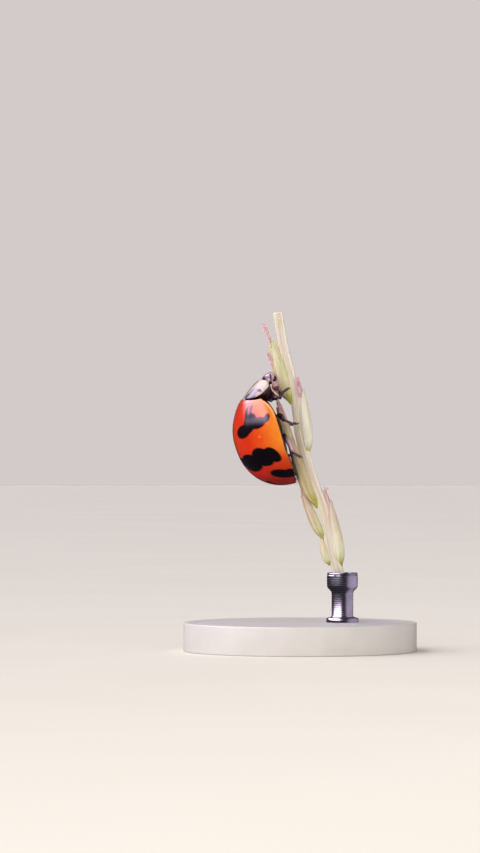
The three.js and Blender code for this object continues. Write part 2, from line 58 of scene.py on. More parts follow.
# The beetle's own axes are X to its right, Y forward and Z up its back, in millimetres.
BODY_PLACE = Vector((-1.43, -0.2, 12.05))
BODY_LEAN = math.radians(16.5)
BODY_ROLL = math.radians(8.0)


def beetle_frame():
    """The turn and place that take the beetle's own millimetres into the frame's metres."""
    forward = Vector((-math.sin(BODY_LEAN), 0, math.cos(BODY_LEAN)))
    back = Vector((-math.cos(BODY_LEAN), 0, -math.sin(BODY_LEAN)))
    back.rotate(Matrix.Rotation(BODY_ROLL, 3, forward))
    right = forward.cross(back)
    turn = Matrix((right, forward, back)).transposed().to_4x4()
    return Matrix.Scale(MM, 4) @ Matrix.Translation(BODY_PLACE) @ turn


ON_BEETLE = beetle_frame()
IN_FRAME = Matrix.Scale(MM, 4)


# ---------------------------------------------------------------- modelling helpers


def clear():
    """Leaves edit mode with nothing selected."""
    if bpy.context.mode != "OBJECT":
        bpy.ops.object.mode_set(mode="OBJECT")
    bpy.ops.object.select_all(action="DESELECT")


def take(*pieces):
    """Selects these pieces alone, the first one active."""
    clear()
    for piece in pieces:
        piece.select_set(True)
    bpy.context.view_layer.objects.active = pieces[0]


def named(name):
    """Names the piece that was just added."""
    piece = bpy.context.object
    piece.name = name
    piece.data.name = name
    return piece


def edit(piece):
    """Opens one piece in edit mode with everything selected."""
    take(piece)
    bpy.ops.object.mode_set(mode="EDIT")
    bpy.ops.mesh.select_all(action="SELECT")


def pick_faces(piece, wanted):
    """Selects the faces of the open piece that pass the test."""
    bpy.ops.mesh.select_mode(type="FACE")
    bpy.ops.mesh.select_all(action="DESELECT")
    mesh = bmesh.from_edit_mesh(piece.data)
    for face in mesh.faces:
        face.select_set(wanted(face))
    bmesh.update_edit_mesh(piece.data)


def outwards():
    """Turns every face of the open piece outwards, and closes it."""
    bpy.ops.mesh.select_all(action="SELECT")
    bpy.ops.mesh.normals_make_consistent(inside=False)
    clear()


def closed(piece):
    """Merges the points that touch and turns every face outwards."""
    edit(piece)
    bpy.ops.mesh.remove_doubles(threshold=MERGE_REACH)
    outwards()


def mould(piece, form):
    """Moves every point of a piece to where the form puts it."""
    for point in piece.data.vertices:
        point.co = form(point.co)
    piece.data.update()


def note(piece, **values):
    """Keeps numbers for each point, by name, which the piece's material reads."""
    for name, value in values.items():
        layer = piece.data.attributes.new(name, "FLOAT", "POINT")
        layer.data.foreach_set("value", [
            value(point.co) if callable(value) else value for point in piece.data.vertices
        ])


def apply_modifier(piece, kind, **settings):
    """Adds one modifier and applies it."""
    take(piece)
    bpy.ops.object.modifier_add(type=kind)
    modifier = piece.modifiers[-1]
    for name, value in settings.items():
        setattr(modifier, name, value)
    bpy.ops.object.modifier_apply(modifier=modifier.name)


def thicken(piece, thickness):
    """Gives an open sheet its wall, inwards."""
    apply_modifier(piece, "SOLIDIFY", thickness=thickness, offset=-1, use_even_offset=False)


def copied(piece, name):
    """A copy with a mesh of its own."""
    take(piece)
    bpy.ops.object.duplicate()
    return named(name)


def mirrored(piece, name):
    """The left-hand copy of a right-hand piece."""
    copy = copied(piece, name)
    copy.scale = (-1, 1, 1)
    bpy.ops.object.transform_apply(location=False, rotation=False, scale=True)
    edit(copy)
    outwards()
    return copy


def joined(name, pieces):
    """Joins pieces into the first."""
    take(*pieces)
    bpy.ops.object.join()
    return named(name)


def hand_over(piece, place, finish, nodes=(), angle=60):
    """Keeps a piece's place in its mesh, gives its finish, and says which CAD nodes it stands for."""
    take(piece)
    piece.matrix_world = place
    bpy.ops.object.transform_apply(location=True, rotation=True, scale=True)
    piece.data.materials.clear()
    piece.data.materials.append(finish)
    bpy.ops.object.shade_smooth_by_angle(angle=math.radians(angle))
    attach(piece, "root")
    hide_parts(*nodes)


def hand_over_pair(piece, finish, node, angle=60):
    """Hands over a right-hand piece of the beetle and its left-hand copy."""
    left = mirrored(piece, piece.name.replace("right", "left"))
    hand_over(piece, ON_BEETLE, finish, [node + "_right"], angle)
    hand_over(left, ON_BEETLE, finish, [node + "_left"], angle)


def lerp(a, b, t):
    """The value at t between a and b."""
    return a + (b - a) * t


def ease(low, high, value):
    """Rises smoothly from 0 at low to 1 at high."""
    t = min(1.0, max(0.0, (value - low) / (high - low)))
    return t * t * (3 - 2 * t)


def bump(value, centre, width):
    """A smooth swelling of height 1 about a centre."""
    return math.exp(-(((value - centre) / width) ** 2))


def through(stations, t):
    """The values at t, from 0 to 1, on a smooth curve through all the stations."""
    last = len(stations) - 1
    place = min(max(t, 0.0), 1.0) * last
    i = min(int(place), last - 1)
    f = place - i
    b, c = stations[i], stations[i + 1]
    a = stations[i - 1] if i > 0 else [2 * p - q for p, q in zip(b, c)]
    d = stations[i + 2] if i + 2 <= last else [2 * q - p for p, q in zip(b, c)]
    return [
        q + 0.5 * f * (r - p + f * (2 * p - 5 * q + 4 * r - s + f * (3 * (q - r) + s - p)))
        for p, q, r, s in zip(a, b, c, d)
    ]


def drawn(name, sections, sides):
    """A closed straight bar: a disc extruded from one (height, half width, half depth) to the next."""
    clear()
    bpy.ops.mesh.primitive_circle_add(vertices=sides, radius=1, fill_type="NGON")
    bar = named(name)
    edit(bar)
    height, wide, deep = sections[0]
    bpy.ops.transform.translate(value=(0, 0, height))
    bpy.ops.transform.resize(value=(wide, deep, 1))
    for (low, a, b), (high, c, d) in zip(sections, sections[1:]):
        bpy.ops.mesh.extrude_region_move(TRANSFORM_OT_translate={"value": (0, 0, high - low)})
        bpy.ops.transform.resize(value=(c / a, d / b, 1))
    outwards()
    return bar


def follow(piece, route, side=(0, 1, 0)):
    """Bends a straight piece, from Z 0 to Z 1, onto a smooth route, its X towards the side."""
    steps = 160
    line = [Vector(through(route, i / steps)) for i in range(steps + 1)]
    run = lengths(line)
    ways = [(line[min(i + 1, steps)] - line[max(i - 1, 0)]).normalized() for i in range(steps + 1)]
    side = Vector(side)

    def bent(point):
        want = point.z * run[-1]
        i = min(max(bisect.bisect_right(run, want) - 1, 0), steps - 1)
        f = (want - run[i]) / (run[i + 1] - run[i])
        along = ways[i].lerp(ways[i + 1], min(max(f, 0.0), 1.0)).normalized()
        across = (side - along * side.dot(along)).normalized()
        return line[i].lerp(line[i + 1], f) + across * point.x + along.cross(across) * point.y

    mould(piece, bent)


def rounded(name, stations, segments, rings, square=2.0):
    """A closed body through stations of [y, half width, low z, high z], from front to rear."""
    clear()
    bpy.ops.mesh.primitive_uv_sphere_add(segments=segments, ring_count=rings, radius=1)
    body = named(name)

    def form(point):
        t = math.acos(max(-1.0, min(1.0, point.z))) / math.pi
        y, half, low, high = through(stations, t)
        turn = math.atan2(point.y, point.x)
        c, s = math.cos(turn), math.sin(turn)
        c = math.copysign(abs(c) ** (2 / square), c)
        s = math.copysign(abs(s) ** (2 / square), s)
        return Vector((max(half, 0) * c, y, (low + high) / 2 + max(high - low, 0) / 2 * s))

    mould(body, form)
    return body


def sheet(name, columns, rows):
    """A flat grid, from 0 to 1 in X and Y, for a sheet that's moulded next."""
    clear()
    bpy.ops.mesh.primitive_grid_add(x_subdivisions=columns, y_subdivisions=rows, size=1)
    piece = named(name)
    edit(piece)
    bpy.ops.transform.translate(value=(0.5, 0.5, 0))
    clear()
    return piece


def unwrapped(piece, spot):
    """Lays every point of a piece on its OFBake map."""
    while piece.data.uv_layers:
        piece.data.uv_layers.remove(piece.data.uv_layers[0])
    layer = piece.data.uv_layers.new(name="OFBake")
    for loop in piece.data.loops:
        layer.data[loop.index].uv = spot(piece.data.vertices[loop.vertex_index].co)


def bristle(name, sides, blunt):
    """A slender spine from Z 0 to Z 1, of radius 1, with its small patch of map."""
    profile = ((0.0, 0.7), (0.35, 1.0), (0.75, 0.9 * blunt), (1.0, 0.4 * blunt))
    spine = drawn(name, [(height, radius, radius) for height, radius in profile], sides)
    unwrapped(spine, lambda point: (0.5 + 0.4 * point.x, point.z))
    return spine


def aimed(root, way, thick, length):
    """The place of a bristle: its root, its direction, its thickness and its length."""
    turn = way.to_track_quat("Z", "Y").to_matrix().to_4x4()
    return Matrix.Translation(root) @ turn @ Matrix.Diagonal((thick, thick, length, 1.0))


def axes(start, end):
    """The way from start to end, and the two ways across it."""
    along = (end - start).normalized()
    side = along.cross(Vector((0, 1, 0))).normalized()
    return along, side, along.cross(side)


def strewn(name, model, places, patches):
    """One piece made of copies of a model, each put in its place, with its own patch of OFBake."""
    copies = []
    for place, (left, low) in zip(places, patches):
        copy = model.copy()
        copy.data = model.data.copy()
        bpy.context.collection.objects.link(copy)
        copy.data.transform(place)
        for corner in copy.data.uv_layers["OFBake"].data:
            corner.uv = (left + PATCH * corner.uv[0], low + PATCH * corner.uv[1])
        copies.append(copy)
    bpy.data.objects.remove(model)
    return joined(name, copies)


# ---------------------------------------------------------------- finishes


def linear(colour):
    """The linear colour of an sRGB hex value."""
    channels = [int(colour[i:i + 2], 16) / 255 for i in (1, 3, 5)]
    flat = [c / 12.92 if c <= 0.04045 else ((c + 0.055) / 1.055) ** 2.4 for c in channels]
    return (*flat, 1.0)


def add(tree, kind, inputs=None, stops=(), **settings):
    """Adds one shader node with its settings, its links and, on a ramp, its stops."""
    item = tree.nodes.new("ShaderNode" + kind)
    for name, value in settings.items():
        setattr(item, name, value)
    for socket, value in (inputs or {}).items():
        if isinstance(value, bpy.types.NodeSocket):
            tree.links.new(value, item.inputs[socket])
        else:
            item.inputs[socket].default_value = value
    if stops:
        elements = item.color_ramp.elements
        while len(elements) < len(stops):
            elements.new(1.0)
        for element, (place, colour) in zip(elements, stops):
            element.position = place
            element.color = linear(colour) if isinstance(colour, str) else colour
    return item


def kept(tree, name):
    """The number that the piece keeps at each point under this name."""
    return add(tree, "Attribute", attribute_name=name).outputs["Fac"]


def noise(tree, place, scale, detail):
    """Cloudy noise, with so many clouds to a millimetre."""
    return add(tree, "TexNoise", {"Vector": place, "Scale": scale, "Detail": detail}).outputs["Fac"]


def ramp(tree, value, *stops):
    """A colour for each value, from the stops."""
    return add(tree, "ValToRGB", {"Fac": value}, stops=stops).outputs["Color"]


def scaled(tree, value, low, high, start=0.0, end=1.0, **settings):
    """A value between low and high, brought to between start and end."""
    return add(tree, "MapRange", {
        "Value": value, "From Min": low, "From Max": high, "To Min": start, "To Max": end,
    }, **settings).outputs[0]


def math_of(tree, operation, *values):
    """One sum of up to three values."""
    return add(tree, "Math", dict(enumerate(values)), operation=operation).outputs[0]


def blend(tree, share, low, high, blend_type="MIX"):
    """One colour laid over another by its share."""
    return add(tree, "Mix", {0: share, 6: low, 7: high}, data_type="RGBA", blend_type=blend_type).outputs[2]


def relief(tree, height, strength, microns, **settings):
    """A fine relief, so many microns high."""
    return add(tree, "Bump", {
        "Height": height, "Strength": strength, "Distance": microns * MICRON,
    }, **settings).outputs[0]


def drifted(tree, mm, scale, value):
    """A value that clouds move up or down by a quarter at most."""
    cloud = math_of(tree, "SUBTRACT", noise(tree, mm, scale, 3.0), 0.5)
    return math_of(tree, "MULTIPLY_ADD", cloud, 0.5, value)


def ragged(tree, mm, scale, depth):
    """The distance from the markings, made ragged by fine grain."""
    return math_of(tree, "MULTIPLY_ADD", noise(tree, mm, scale, 2.0), depth, kept(tree, "mark"))


def pitted(tree, mm, scale, width, strength, microns):
    """Fine punctures, so many to a millimetre."""
    pits = add(tree, "TexVoronoi", {"Vector": mm, "Scale": scale}).outputs["Distance"]
    return relief(tree, scaled(tree, pits, 0.0, width), strength, microns)


def fibres(tree, scale):
    """Long fibres, drawn on the round and along values that the piece keeps."""
    spun = add(tree, "CombineXYZ", {"X": kept(tree, "round"), "Y": kept(tree, "along")}).outputs[0]
    laid = add(tree, "Mapping", {"Vector": spun, "Scale": scale}).outputs[0]
    return noise(tree, laid, 1.0, 4.0)


def blank(name):
    """An empty material, its nodes, and a position in millimetres."""
    material = bpy.data.materials.new(name)
    material.use_nodes = True
    tree = material.node_tree
    tree.nodes.clear()
    place = add(tree, "TexCoord").outputs["Object"]
    mm = add(tree, "Mapping", {"Vector": place, "Scale": (1 / MM, 1 / MM, 1 / MM)})
    return material, tree, mm.outputs["Vector"]


def shade(material, **inputs):
    """Ends a material with the principled shader and its output."""
    tree = material.node_tree
    shader = add(tree, "BsdfPrincipled", {name.replace("_", " "): value for name, value in inputs.items()})
    add(tree, "OutputMaterial", {"Surface": shader.outputs["BSDF"]})
    return material


def wing_case_finish(ladybird):
    # Beetle cuticle: chitin with a clear wax skin, which gives a deep orange under a sharp gloss.
    material, tree, mm = blank("beetle_cuticle_orange")
    # Cloudiness of the pigment, about a third of a millimetre across.
    base = ramp(
        tree, scaled(tree, drifted(tree, mm, 3.0, kept(tree, "edge")), 0.0, 3.7),
        (0.0, ladybird.margin_colour), (0.12, "#EC7A1C"), (0.32, "#E24E0C"), (0.55, ladybird.case_colour),
        (1.0, "#DC3A0A"),
    )
    # Painted shade: the orange reddens past the middle and darkens at the rear, where less light falls.
    rear = kept(tree, "rear")
    rear_half_shade = blend(tree, scaled(tree, rear, 0.0, 1.0, 0.0, 0.85), base, linear("#C41A06"))
    shaded = blend(tree, scaled(tree, rear, 1.0, 2.0, 0.0, 0.8), rear_half_shade, ladybird.rear_shade_colour)
    # The markings: black pigment with a brown fringe a few hundredths of a millimetre wide.
    mark = ragged(tree, mm, 9.0, 0.035)
    brown = blend(tree, scaled(tree, mark, 0.09, 0.02), shaded, linear("#7A1A0C"))
    return shade(
        material, Base_Color=blend(tree, scaled(tree, mark, 0.04, 0.0), brown, ladybird.mark_colour),
        Roughness=0.34, Normal=pitted(tree, mm, 11.0, 0.28, 0.25, 4), Coat_Weight=1.0, Coat_Roughness=0.06,
        Coat_IOR=1.6, Specular_IOR_Level=0.1,
    )


def shield_finish(ladybird):
    # Beetle cuticle, cream: smooth chitin over pale tissue, which gives a waxy ivory gloss.
    material, tree, mm = blank("beetle_cuticle_cream")
    base = ramp(tree, noise(tree, mm, 3.5, 4.0), (0.3, "#BCA68E"), (0.7, ladybird.shield_colour))
    black = scaled(tree, ragged(tree, mm, 9.0, 0.05), 0.06, 0.01)
    # The large black marks have a thicker wax skin, so they mirror the window most.
    waxy = math_of(tree, "MULTIPLY", black, kept(tree, "sheen"))
    return shade(
        material, Base_Color=blend(tree, black, base, ladybird.mark_colour), Roughness=0.3,
        Normal=pitted(tree, mm, 14.0, 0.28, 0.25, 3), Coat_Weight=scaled(tree, waxy, 0.0, 1.0, 0.2, 0.75),
        Coat_Roughness=0.12, Coat_IOR=1.7, Specular_IOR_Level=0.3, Subsurface_Weight=0.08,
        Subsurface_Scale=0.3 * MM, Subsurface_Radius=(1.0, 0.6, 0.4),
    )


def head_finish(ladybird):
    # Beetle cuticle, pinkish cream, finely punctured, so the gloss is softer than on the shield.
    material, tree, mm = blank("beetle_cuticle_rosy")
    base = ramp(tree, noise(tree, mm, 5.0, 4.0), (0.3, "#A87880"), (0.5, ladybird.head_colour), (0.7, "#DDB9B8"))
    # Black where the head's marks lie: the band at the vertex, and painted shade along the side below the pronotum.
    black = scaled(tree, ragged(tree, mm, 10.0, 0.08), 0.07, 0.01)
    return shade(
        material, Base_Color=blend(tree, black, base, ladybird.mark_colour), Roughness=0.36,
        Normal=pitted(tree, mm, 18.0, 0.3, 0.4, 3), Coat_Weight=0.5, Coat_Roughness=0.15,
    )


def eye_finish():
    # A compound eye: clear facets about 0.022 mm wide over black pigment, so highlights break up.
    material, tree, mm = blank("compound_eye_facets")
    facets = add(tree, "TexVoronoi", {"Vector": mm, "Scale": 45.0, "Randomness": 0.35}).outputs["Distance"]
    return shade(
        material, Base_Color=ramp(tree, facets, (0.0, "#160B10"), (0.8, "#050305")), Roughness=0.16,
        Normal=relief(tree, facets, 0.6, 4, invert=True), Coat_Weight=0.6, Coat_Roughness=0.08, IOR=1.55,
    )


def dark_cuticle(name, low, middle, high, scale, roughness, coat=0.5):
    # Beetle cuticle, purple-brown: tanned chitin with a fine leathery net, glossy on the ridges.
    material, tree, mm = blank(name)
    brown = ramp(tree, noise(tree, mm, scale, 4.0), (0.3, low), (0.5, middle), (0.72, high))
    net = add(tree, "TexVoronoi", {"Vector": mm, "Scale": 28.0}, feature="DISTANCE_TO_EDGE").outputs["Distance"]
    # Where a piece keeps pale, the brown turns pinkish white: a painted highlight on the outside of the hind thighs,
    # and the lighter very end of the abdomen's tip.
    return shade(
        material, Base_Color=blend(tree, kept(tree, "pale"), brown, linear("#F2CEDA")), Roughness=roughness,
        Normal=relief(tree, scaled(tree, net, 0.0, 0.12), 0.35, 2), Coat_Weight=coat, Coat_Roughness=0.14,
        Specular_IOR_Level=coat,
    )


def feeler_finish():
    # Thin amber cuticle, matt with fine hairs, browner towards the club.
    material, tree, mm = blank("beetle_cuticle_amber")
    cloud = noise(tree, mm, 14.0, 3.0)
    mixed = math_of(tree, "MULTIPLY_ADD", cloud, 0.3, kept(tree, "out"))
    return shade(
        material, Base_Color=ramp(tree, mixed, (0.1, "#EBD3C4"), (0.7, "#E0BFAE"), (1.0, "#BC8E7C")),
        Roughness=0.42, Normal=relief(tree, cloud, 0.4, 4), Coat_Weight=0.3, Coat_Roughness=0.2,
    )


def stem_finish(grass):
    # A dry grass stem: waxy straw with long fibres about 0.05 mm apart, paler on the ribs.
    material, tree, mm = blank("grass_stem_straw")
    # Fibres run along the stem, so the pattern is stretched to 3 mm in that direction.
    fibre = fibres(tree, (20.0, 0.33, 1.0))
    base = ramp(tree, noise(tree, mm, 0.9, 3.0), (0.32, "#DAD3B4"), (0.5, grass.straw_colour), (0.68, "#E6D8CA"))
    streak = ramp(tree, fibre, (0.3, "#97906A"), (0.62, "#FFFFFF"))
    worn = blend(tree, 0.5, base, streak, "MULTIPLY")
    return shade(
        material, Base_Color=blend(tree, kept(tree, "rib"), worn, linear("#F8F1E2")), Roughness=0.55,
        Normal=relief(tree, fibre, 0.5, 10), Subsurface_Weight=0.1, Subsurface_Scale=0.3 * MM,
        Subsurface_Radius=(1.0, 0.9, 0.6),
    )


def husk_finish(grass):
    # A papery grass husk with raised nerves and a thin, pale skin at its edge.
    material, tree, mm = blank("grass_husk_papery")
    fibre = fibres(tree, (24.0, 0.6, 1.0))
    base = ramp(
        tree, drifted(tree, mm, 1.6, kept(tree, "tint")),
        (0.0, "#CBA077"), (0.3, "#D6C088"), (0.55, "#DEDBA8"), (0.8, "#F1F2CE"), (1.0, "#F8F6E2"),
    )
    green = blend(tree, kept(tree, "foot"), base, grass.foot_colour)
    pink = blend(tree, kept(tree, "blush"), green, grass.blush_colour)
    streak = ramp(tree, fibre, (0.3, "#C9BE92"), (0.6, "#FFFFFF"))
    worn = blend(tree, 0.4, pink, streak, "MULTIPLY")
    return shade(
        material, Base_Color=blend(tree, kept(tree, "rim"), worn, linear("#F4ECDC")), Roughness=0.5,
        Normal=relief(tree, fibre, 0.5, 8), Subsurface_Weight=0.15, Subsurface_Scale=0.3 * MM,
        Subsurface_Radius=(1.0, 0.85, 0.5),
    )


def plume_finish(grass):
    # A feathery stigma: soft pink tissue, pale at the barb tips, matt.
    material, tree, mm = blank("stigma_plume_pink")
    colour = ramp(tree, noise(tree, mm, 3.0, 3.0), (0.3, "#DDA0B8"), (0.5, grass.plume_colour), (0.7, "#F6E4E0"))
    return shade(
        material, Base_Color=colour, Roughness=0.7, Sheen_Weight=0.3, Subsurface_Weight=0.2,
        Subsurface_Scale=0.2 * MM, Subsurface_Radius=(1.0, 0.6, 0.5),
    )


def disc_finish(stand):
    # Cast acrylic, satin from fine sanding, pale grey-white.
    material, tree, mm = blank("cast_acrylic_satin")
    # Sanding grit, drawn at 0.05 mm so that it shows.
    grit = noise(tree, mm, 20.0, 3.0)
    return shade(
        material, Base_Color=ramp(tree, noise(tree, mm, 0.6, 2.0), (0.3, "#D4D1CB"), (0.7, stand.disc_colour)),
        Roughness=scaled(tree, grit, 0.0, 1.0, 0.32, 0.5), Normal=relief(tree, grit, 0.15, 5),
    )


def rod_finish(stand):
    # Turned stainless steel: fine rings 0.06 mm apart round the axis, bright with a soft streak.
    material, tree, mm = blank("stainless_steel_turned")
    ring = add(tree, "TexWave", {
        "Vector": mm, "Scale": 2.6, "Distortion": 0.4, "Detail": 2.0,
    }, bands_direction="Z").outputs["Fac"]
    return shade(
        material, Base_Color=ramp(tree, noise(tree, mm, 1.5, 3.0), (0.3, "#A9ABAE"), (0.7, stand.steel_colour)),
        Metallic=1.0, Roughness=scaled(tree, ring, 0.0, 1.0, 0.2, 0.34), Normal=relief(tree, ring, 0.2, 5),
    )


def floor_finish(stage):
    # Matt studio board, pale, with the faintest mottle.
    material, tree, mm = blank("studio_board_matt")
    colour = ramp(tree, noise(tree, mm, 0.05, 2.0), (0.3, "#E6E3D2"), (0.7, stage.floor_colour))
    return shade(material, Base_Color=colour, Roughness=0.8)


# ---------------------------------------------------------------- the beetle's measured form, mm

CASE_HALF_WIDTH = 2.42
CASE_WIDEST_Y = 0.3
CASE_FRONT_Y = 2.33
CASE_FRONT_REACH = 2.75
CASE_REAR_REACH = 3.22
CASE_LOW = -0.34
BACK_TOP = 2.28
BACK_TOP_Y = 0.1
TINY = 1e-6


def case_half(y, inset=0.0):
    """Half the width of the wing cases at y, or inside them by the inset."""
    if y > CASE_WIDEST_Y:
        narrowing = ((y - CASE_WIDEST_Y) / CASE_FRONT_REACH) ** 2.25
    else:
        narrowing = ((CASE_WIDEST_Y - y) / (CASE_REAR_REACH - inset)) ** 2.2
    return (CASE_HALF_WIDTH - inset) * math.sqrt(max(0.0, 1 - narrowing))


def case_margin(y):
    """Height of the lower margin at y."""
    if y > 1.1:
        return 0.3 * (y - 1.1) ** 1.9
    return CASE_LOW * max(0.0, (-0.9 - y) / 2.02)


def case_crest(y):
    """Height of the back at y."""
    if y > BACK_TOP_Y:
        return BACK_TOP - 0.192 * (y - BACK_TOP_Y) ** 2
    return CASE_LOW + (BACK_TOP - CASE_LOW) * math.sqrt(max(0.0, 1 - ((BACK_TOP_Y - y) / 3.02) ** 2.4))


def case_point(turn, y):
    """A point of the dome: turn is 0 at the margin and a quarter circle at the suture."""
    low = case_margin(y)
    # The front edge sweeps back towards the margin.
    sweep = max(0.0, (y - 1.4) / 0.93) ** 1.5 * 0.2
    return Vector((
        case_half(y) * math.cos(turn),
        y - sweep * math.cos(turn) ** 2,
        low + (case_crest(y) - low) * math.sin(turn),
    ))


def lengths(points):
    """The distance along a line of points, at each of them."""
    run = [0.0]
    for start, end in zip(points, points[1:]):
        run.append(run[-1] + (end - start).length)
    return run


def case_arc(y, steps=96):
    """Lengths along the dome from the margin, at even turns, at y."""
    return lengths([case_point(math.pi / 2 * i / steps, y) for i in range(steps + 1)])


# Markings of a wing case: rounds (middle, radii) and strokes (start, end, radius), in mm, as
# (distance from the suture along the dome, y).
WING_ROUNDS = (
    ((1.95, 1.05), (0.42, 0.42)), ((2.5, 0.88), (0.42, 0.28)), ((3.03, 1.02), (0.14, 0.18)),
    ((1.40, 0.64), (0.55, 0.34)), ((2.05, -1.0), (0.55, 0.55)), ((2.66, -1.03), (0.38, 0.44)),
    ((1.05, -1.15), (0.75, 0.52)), ((1.93, -2.2), (0.48, 0.33)),
)
WING_STROKES = (
    ((1.58, 1.82), (1.66, 1.25), 0.085), ((1.85, 1.84), (1.99, 1.3), 0.055), ((2.8, 0.92), (2.95, 0.95), 0.07),
    ((1.95, 0.75), (1.5, 0.66), 0.24), ((0.0, -0.95), (0.8, -1.1), 0.25), ((2.2, -2.25), (2.55, -2.15), 0.12),
    ((0.45, -2.45), (0.2, -2.75), 0.12), ((0.02, 2.4), (0.02, -3.0), 0.02),
)


def outside(p, q, rounds, strokes, soft):
    """Distance from a point to the nearest marking, below 0 within it; near ones flow together."""
    apart = []
    for (a, b), (wide, tall) in rounds:
        reach = math.hypot((p - a) / wide, (q - b) / tall)
        apart.append((reach - 1) * min(wide, tall))
    for (a, b), (c, d), radius in strokes:
        run_p, run_q = c - a, d - b
        t = ((p - a) * run_p + (q - b) * run_q) / (run_p ** 2 + run_q ** 2)
        t = min(1.0, max(0.0, t))
        apart.append(math.hypot(p - a - t * run_p, q - b - t * run_q) - radius)
    nearest = min(apart)
    return nearest - soft * math.log(sum(math.exp((nearest - d) / soft) for d in apart))


SHIELD_SLOPE = math.radians(56)
SHIELD_HALF_WIDTH = 1.57
SHIELD_MIDDLE = 1.12
SHIELD_SQUARENESS = 2.4


def shield_spot(point, scale=1.0):
    """Where a point of a sheet lies on the shield: across, along its slope, and 1 at the rim."""
    u, v = 2 * point.x - 1, 2 * point.y - 1
    rim = max(abs(u), abs(v), TINY)
    # The sheet's square outline becomes a rounded one.
    wide, tall = ((abs(t) / rim) ** SHIELD_SQUARENESS for t in (u, v))
    reach = max(TINY, math.hypot(wide, tall) ** (1 / SHIELD_SQUARENESS))
    side, swing = abs(u) / rim / reach, v / rim / reach
    rear = 0.25 + 0.58 * side ** 2 + 0.16 * side ** 8
    front = 1.83 + 0.16 * min(1.0, side / 0.8) ** 2 - 0.14 * side ** 8
    along = lerp(rear, front, 0.5 + 0.5 * swing)
    x = math.copysign(side * SHIELD_HALF_WIDTH * rim * scale, u)
    return x, lerp(SHIELD_MIDDLE, along, rim * scale), rim


def shield_point(x, s, sink=0.0):
    """A point of the shield's face, or sink below it."""
    n = 2.62 + 0.05 * (1 - ((s - 1.1) / 0.75) ** 2) - 0.19 * x * x - sink
    return Vector((
        x,
        s * math.cos(SHIELD_SLOPE) + n * math.sin(SHIELD_SLOPE),
        n * math.cos(SHIELD_SLOPE) - s * math.sin(SHIELD_SLOPE),
    ))


# The shield's black marks, as (distance from the middle, distance along the slope).
SHIELD_ROUNDS = (((1.36, 1.2), (0.15, 0.09)), ((0.97, 0.9), (0.36, 0.35)), ((0.72, 0.6), (0.3, 0.22)))
SHIELD_STROKES = (((0.2, 0.5), (0.1, 1.4), 0.06), ((0.1, 1.4), (0.3, 1.62), 0.045))

HEAD_STATIONS = (
    (3.43, 0.04, -0.74, -0.68), (3.39, 0.34, -0.84, -0.58), (3.3, 0.62, -0.94, -0.34),
    (3.1, 0.84, -1.02, -0.2), (2.82, 0.9, -1.06, -0.2), (2.55, 0.8, -1.04, -0.3),
    (2.3, 0.58, -1.0, -0.42), (2.12, 0.46, -0.95, -0.5), (2.06, 0.1, -0.8, -0.66),
)
# The dark marks of the head, as seen from its side, as (y, z): the first stroke is the black band at the vertex; the
# second stroke and the round are painted shade, the shadow between the head's side and the pronotum, wider at its
# lower end.
HEAD_SHADE_ROUNDS = (((2.64, -0.42), (0.26, 0.13)),)
HEAD_MARK_AND_SHADE_STROKES = (((3.14, 0.1), (3.17, -0.44), 0.1), ((3.26, -0.62), (2.5, -0.44), 0.055))
MOUTH_STATIONS = (
    (2.16, 0.04, -0.78, -0.66), (2.11, 0.34, -0.92, -0.56), (1.98, 0.34, -0.87, -0.54),
    (1.86, 0.22, -0.8, -0.56), (1.82, 0.03, -0.7, -0.64),
)
EYE_PLACE = (0.78, 2.95, -0.76)
EYE_RADII = (0.17, 0.21, 0.15)
EYE_SLANT = math.atan2(0.17, 0.33)
ANTENNA_ROUTE = (
    (0.86, 2.74, -0.5), (0.99, 2.6, -0.44), (1.08, 2.42, -0.44), (1.12, 2.2, -0.54), (1.08, 1.98, -0.68),
)
# Length and radius of each segment of a feeler, from the scape to the club.
ANTENNA_SEGMENTS = (
    (1.5, 0.066), (0.9, 0.054), (0.9, 0.048), (0.8, 0.046), (0.8, 0.046), (0.75, 0.048),
    (0.75, 0.052), (0.8, 0.06), (1.0, 0.078), (0.95, 0.086), (0.9, 0.072),
)
# The outline of one segment: part of its length and of its radius.
ANTENNA_BEAD = ((0.12, 0.62), (0.4, 0.9), (0.75, 1.0), (0.95, 0.8))
JAW_ROUTE = ((0.26, 2.04, -0.84), (0.3, 1.93, -0.9), (0.18, 1.84, -0.9), (0.02, 1.8, -0.88))
PALP_ROUTE = ((0.5, 2.1, -0.84), (0.68, 2.16, -0.86), (0.8, 2.28, -0.82), (0.84, 2.5, -0.74))

# Each leg: hip, knee, ankle and claws.
LEGS = {
    "fore": ((0.52, 2.2, -0.1), (1.05, 1.88, -0.56), (0.74, 2.13, -1.05), (0.38, 2.26, -1.47)),
    "mid": ((0.62, 1.0, -0.42), (1.45, 0.62, -0.54), (0.88, 0.32, -0.98), (0.42, 0.22, -1.38)),
    "hind": ((0.5, -0.1, -0.42), (1.32, -1.26, -0.52), (0.84, -1.45, -0.78), (0.42, -1.62, -1.02)),
}
TIBIA_RADIUS = {"fore": 0.088, "mid": 0.07, "hind": 0.075}
# Sections of the leg parts and jaws: height, half width and half depth.
THIGH = (
    (0.0, 0.05, 0.05), (0.04, 0.11, 0.1), (0.1, 0.13, 0.12), (0.16, 0.11, 0.1), (0.2, 0.12, 0.1),
    (0.34, 0.17, 0.12), (0.5, 0.19, 0.125), (0.68, 0.18, 0.12), (0.84, 0.15, 0.105), (0.94, 0.12, 0.09),
    (0.98, 0.08, 0.07), (1.0, 0.03, 0.03),
)
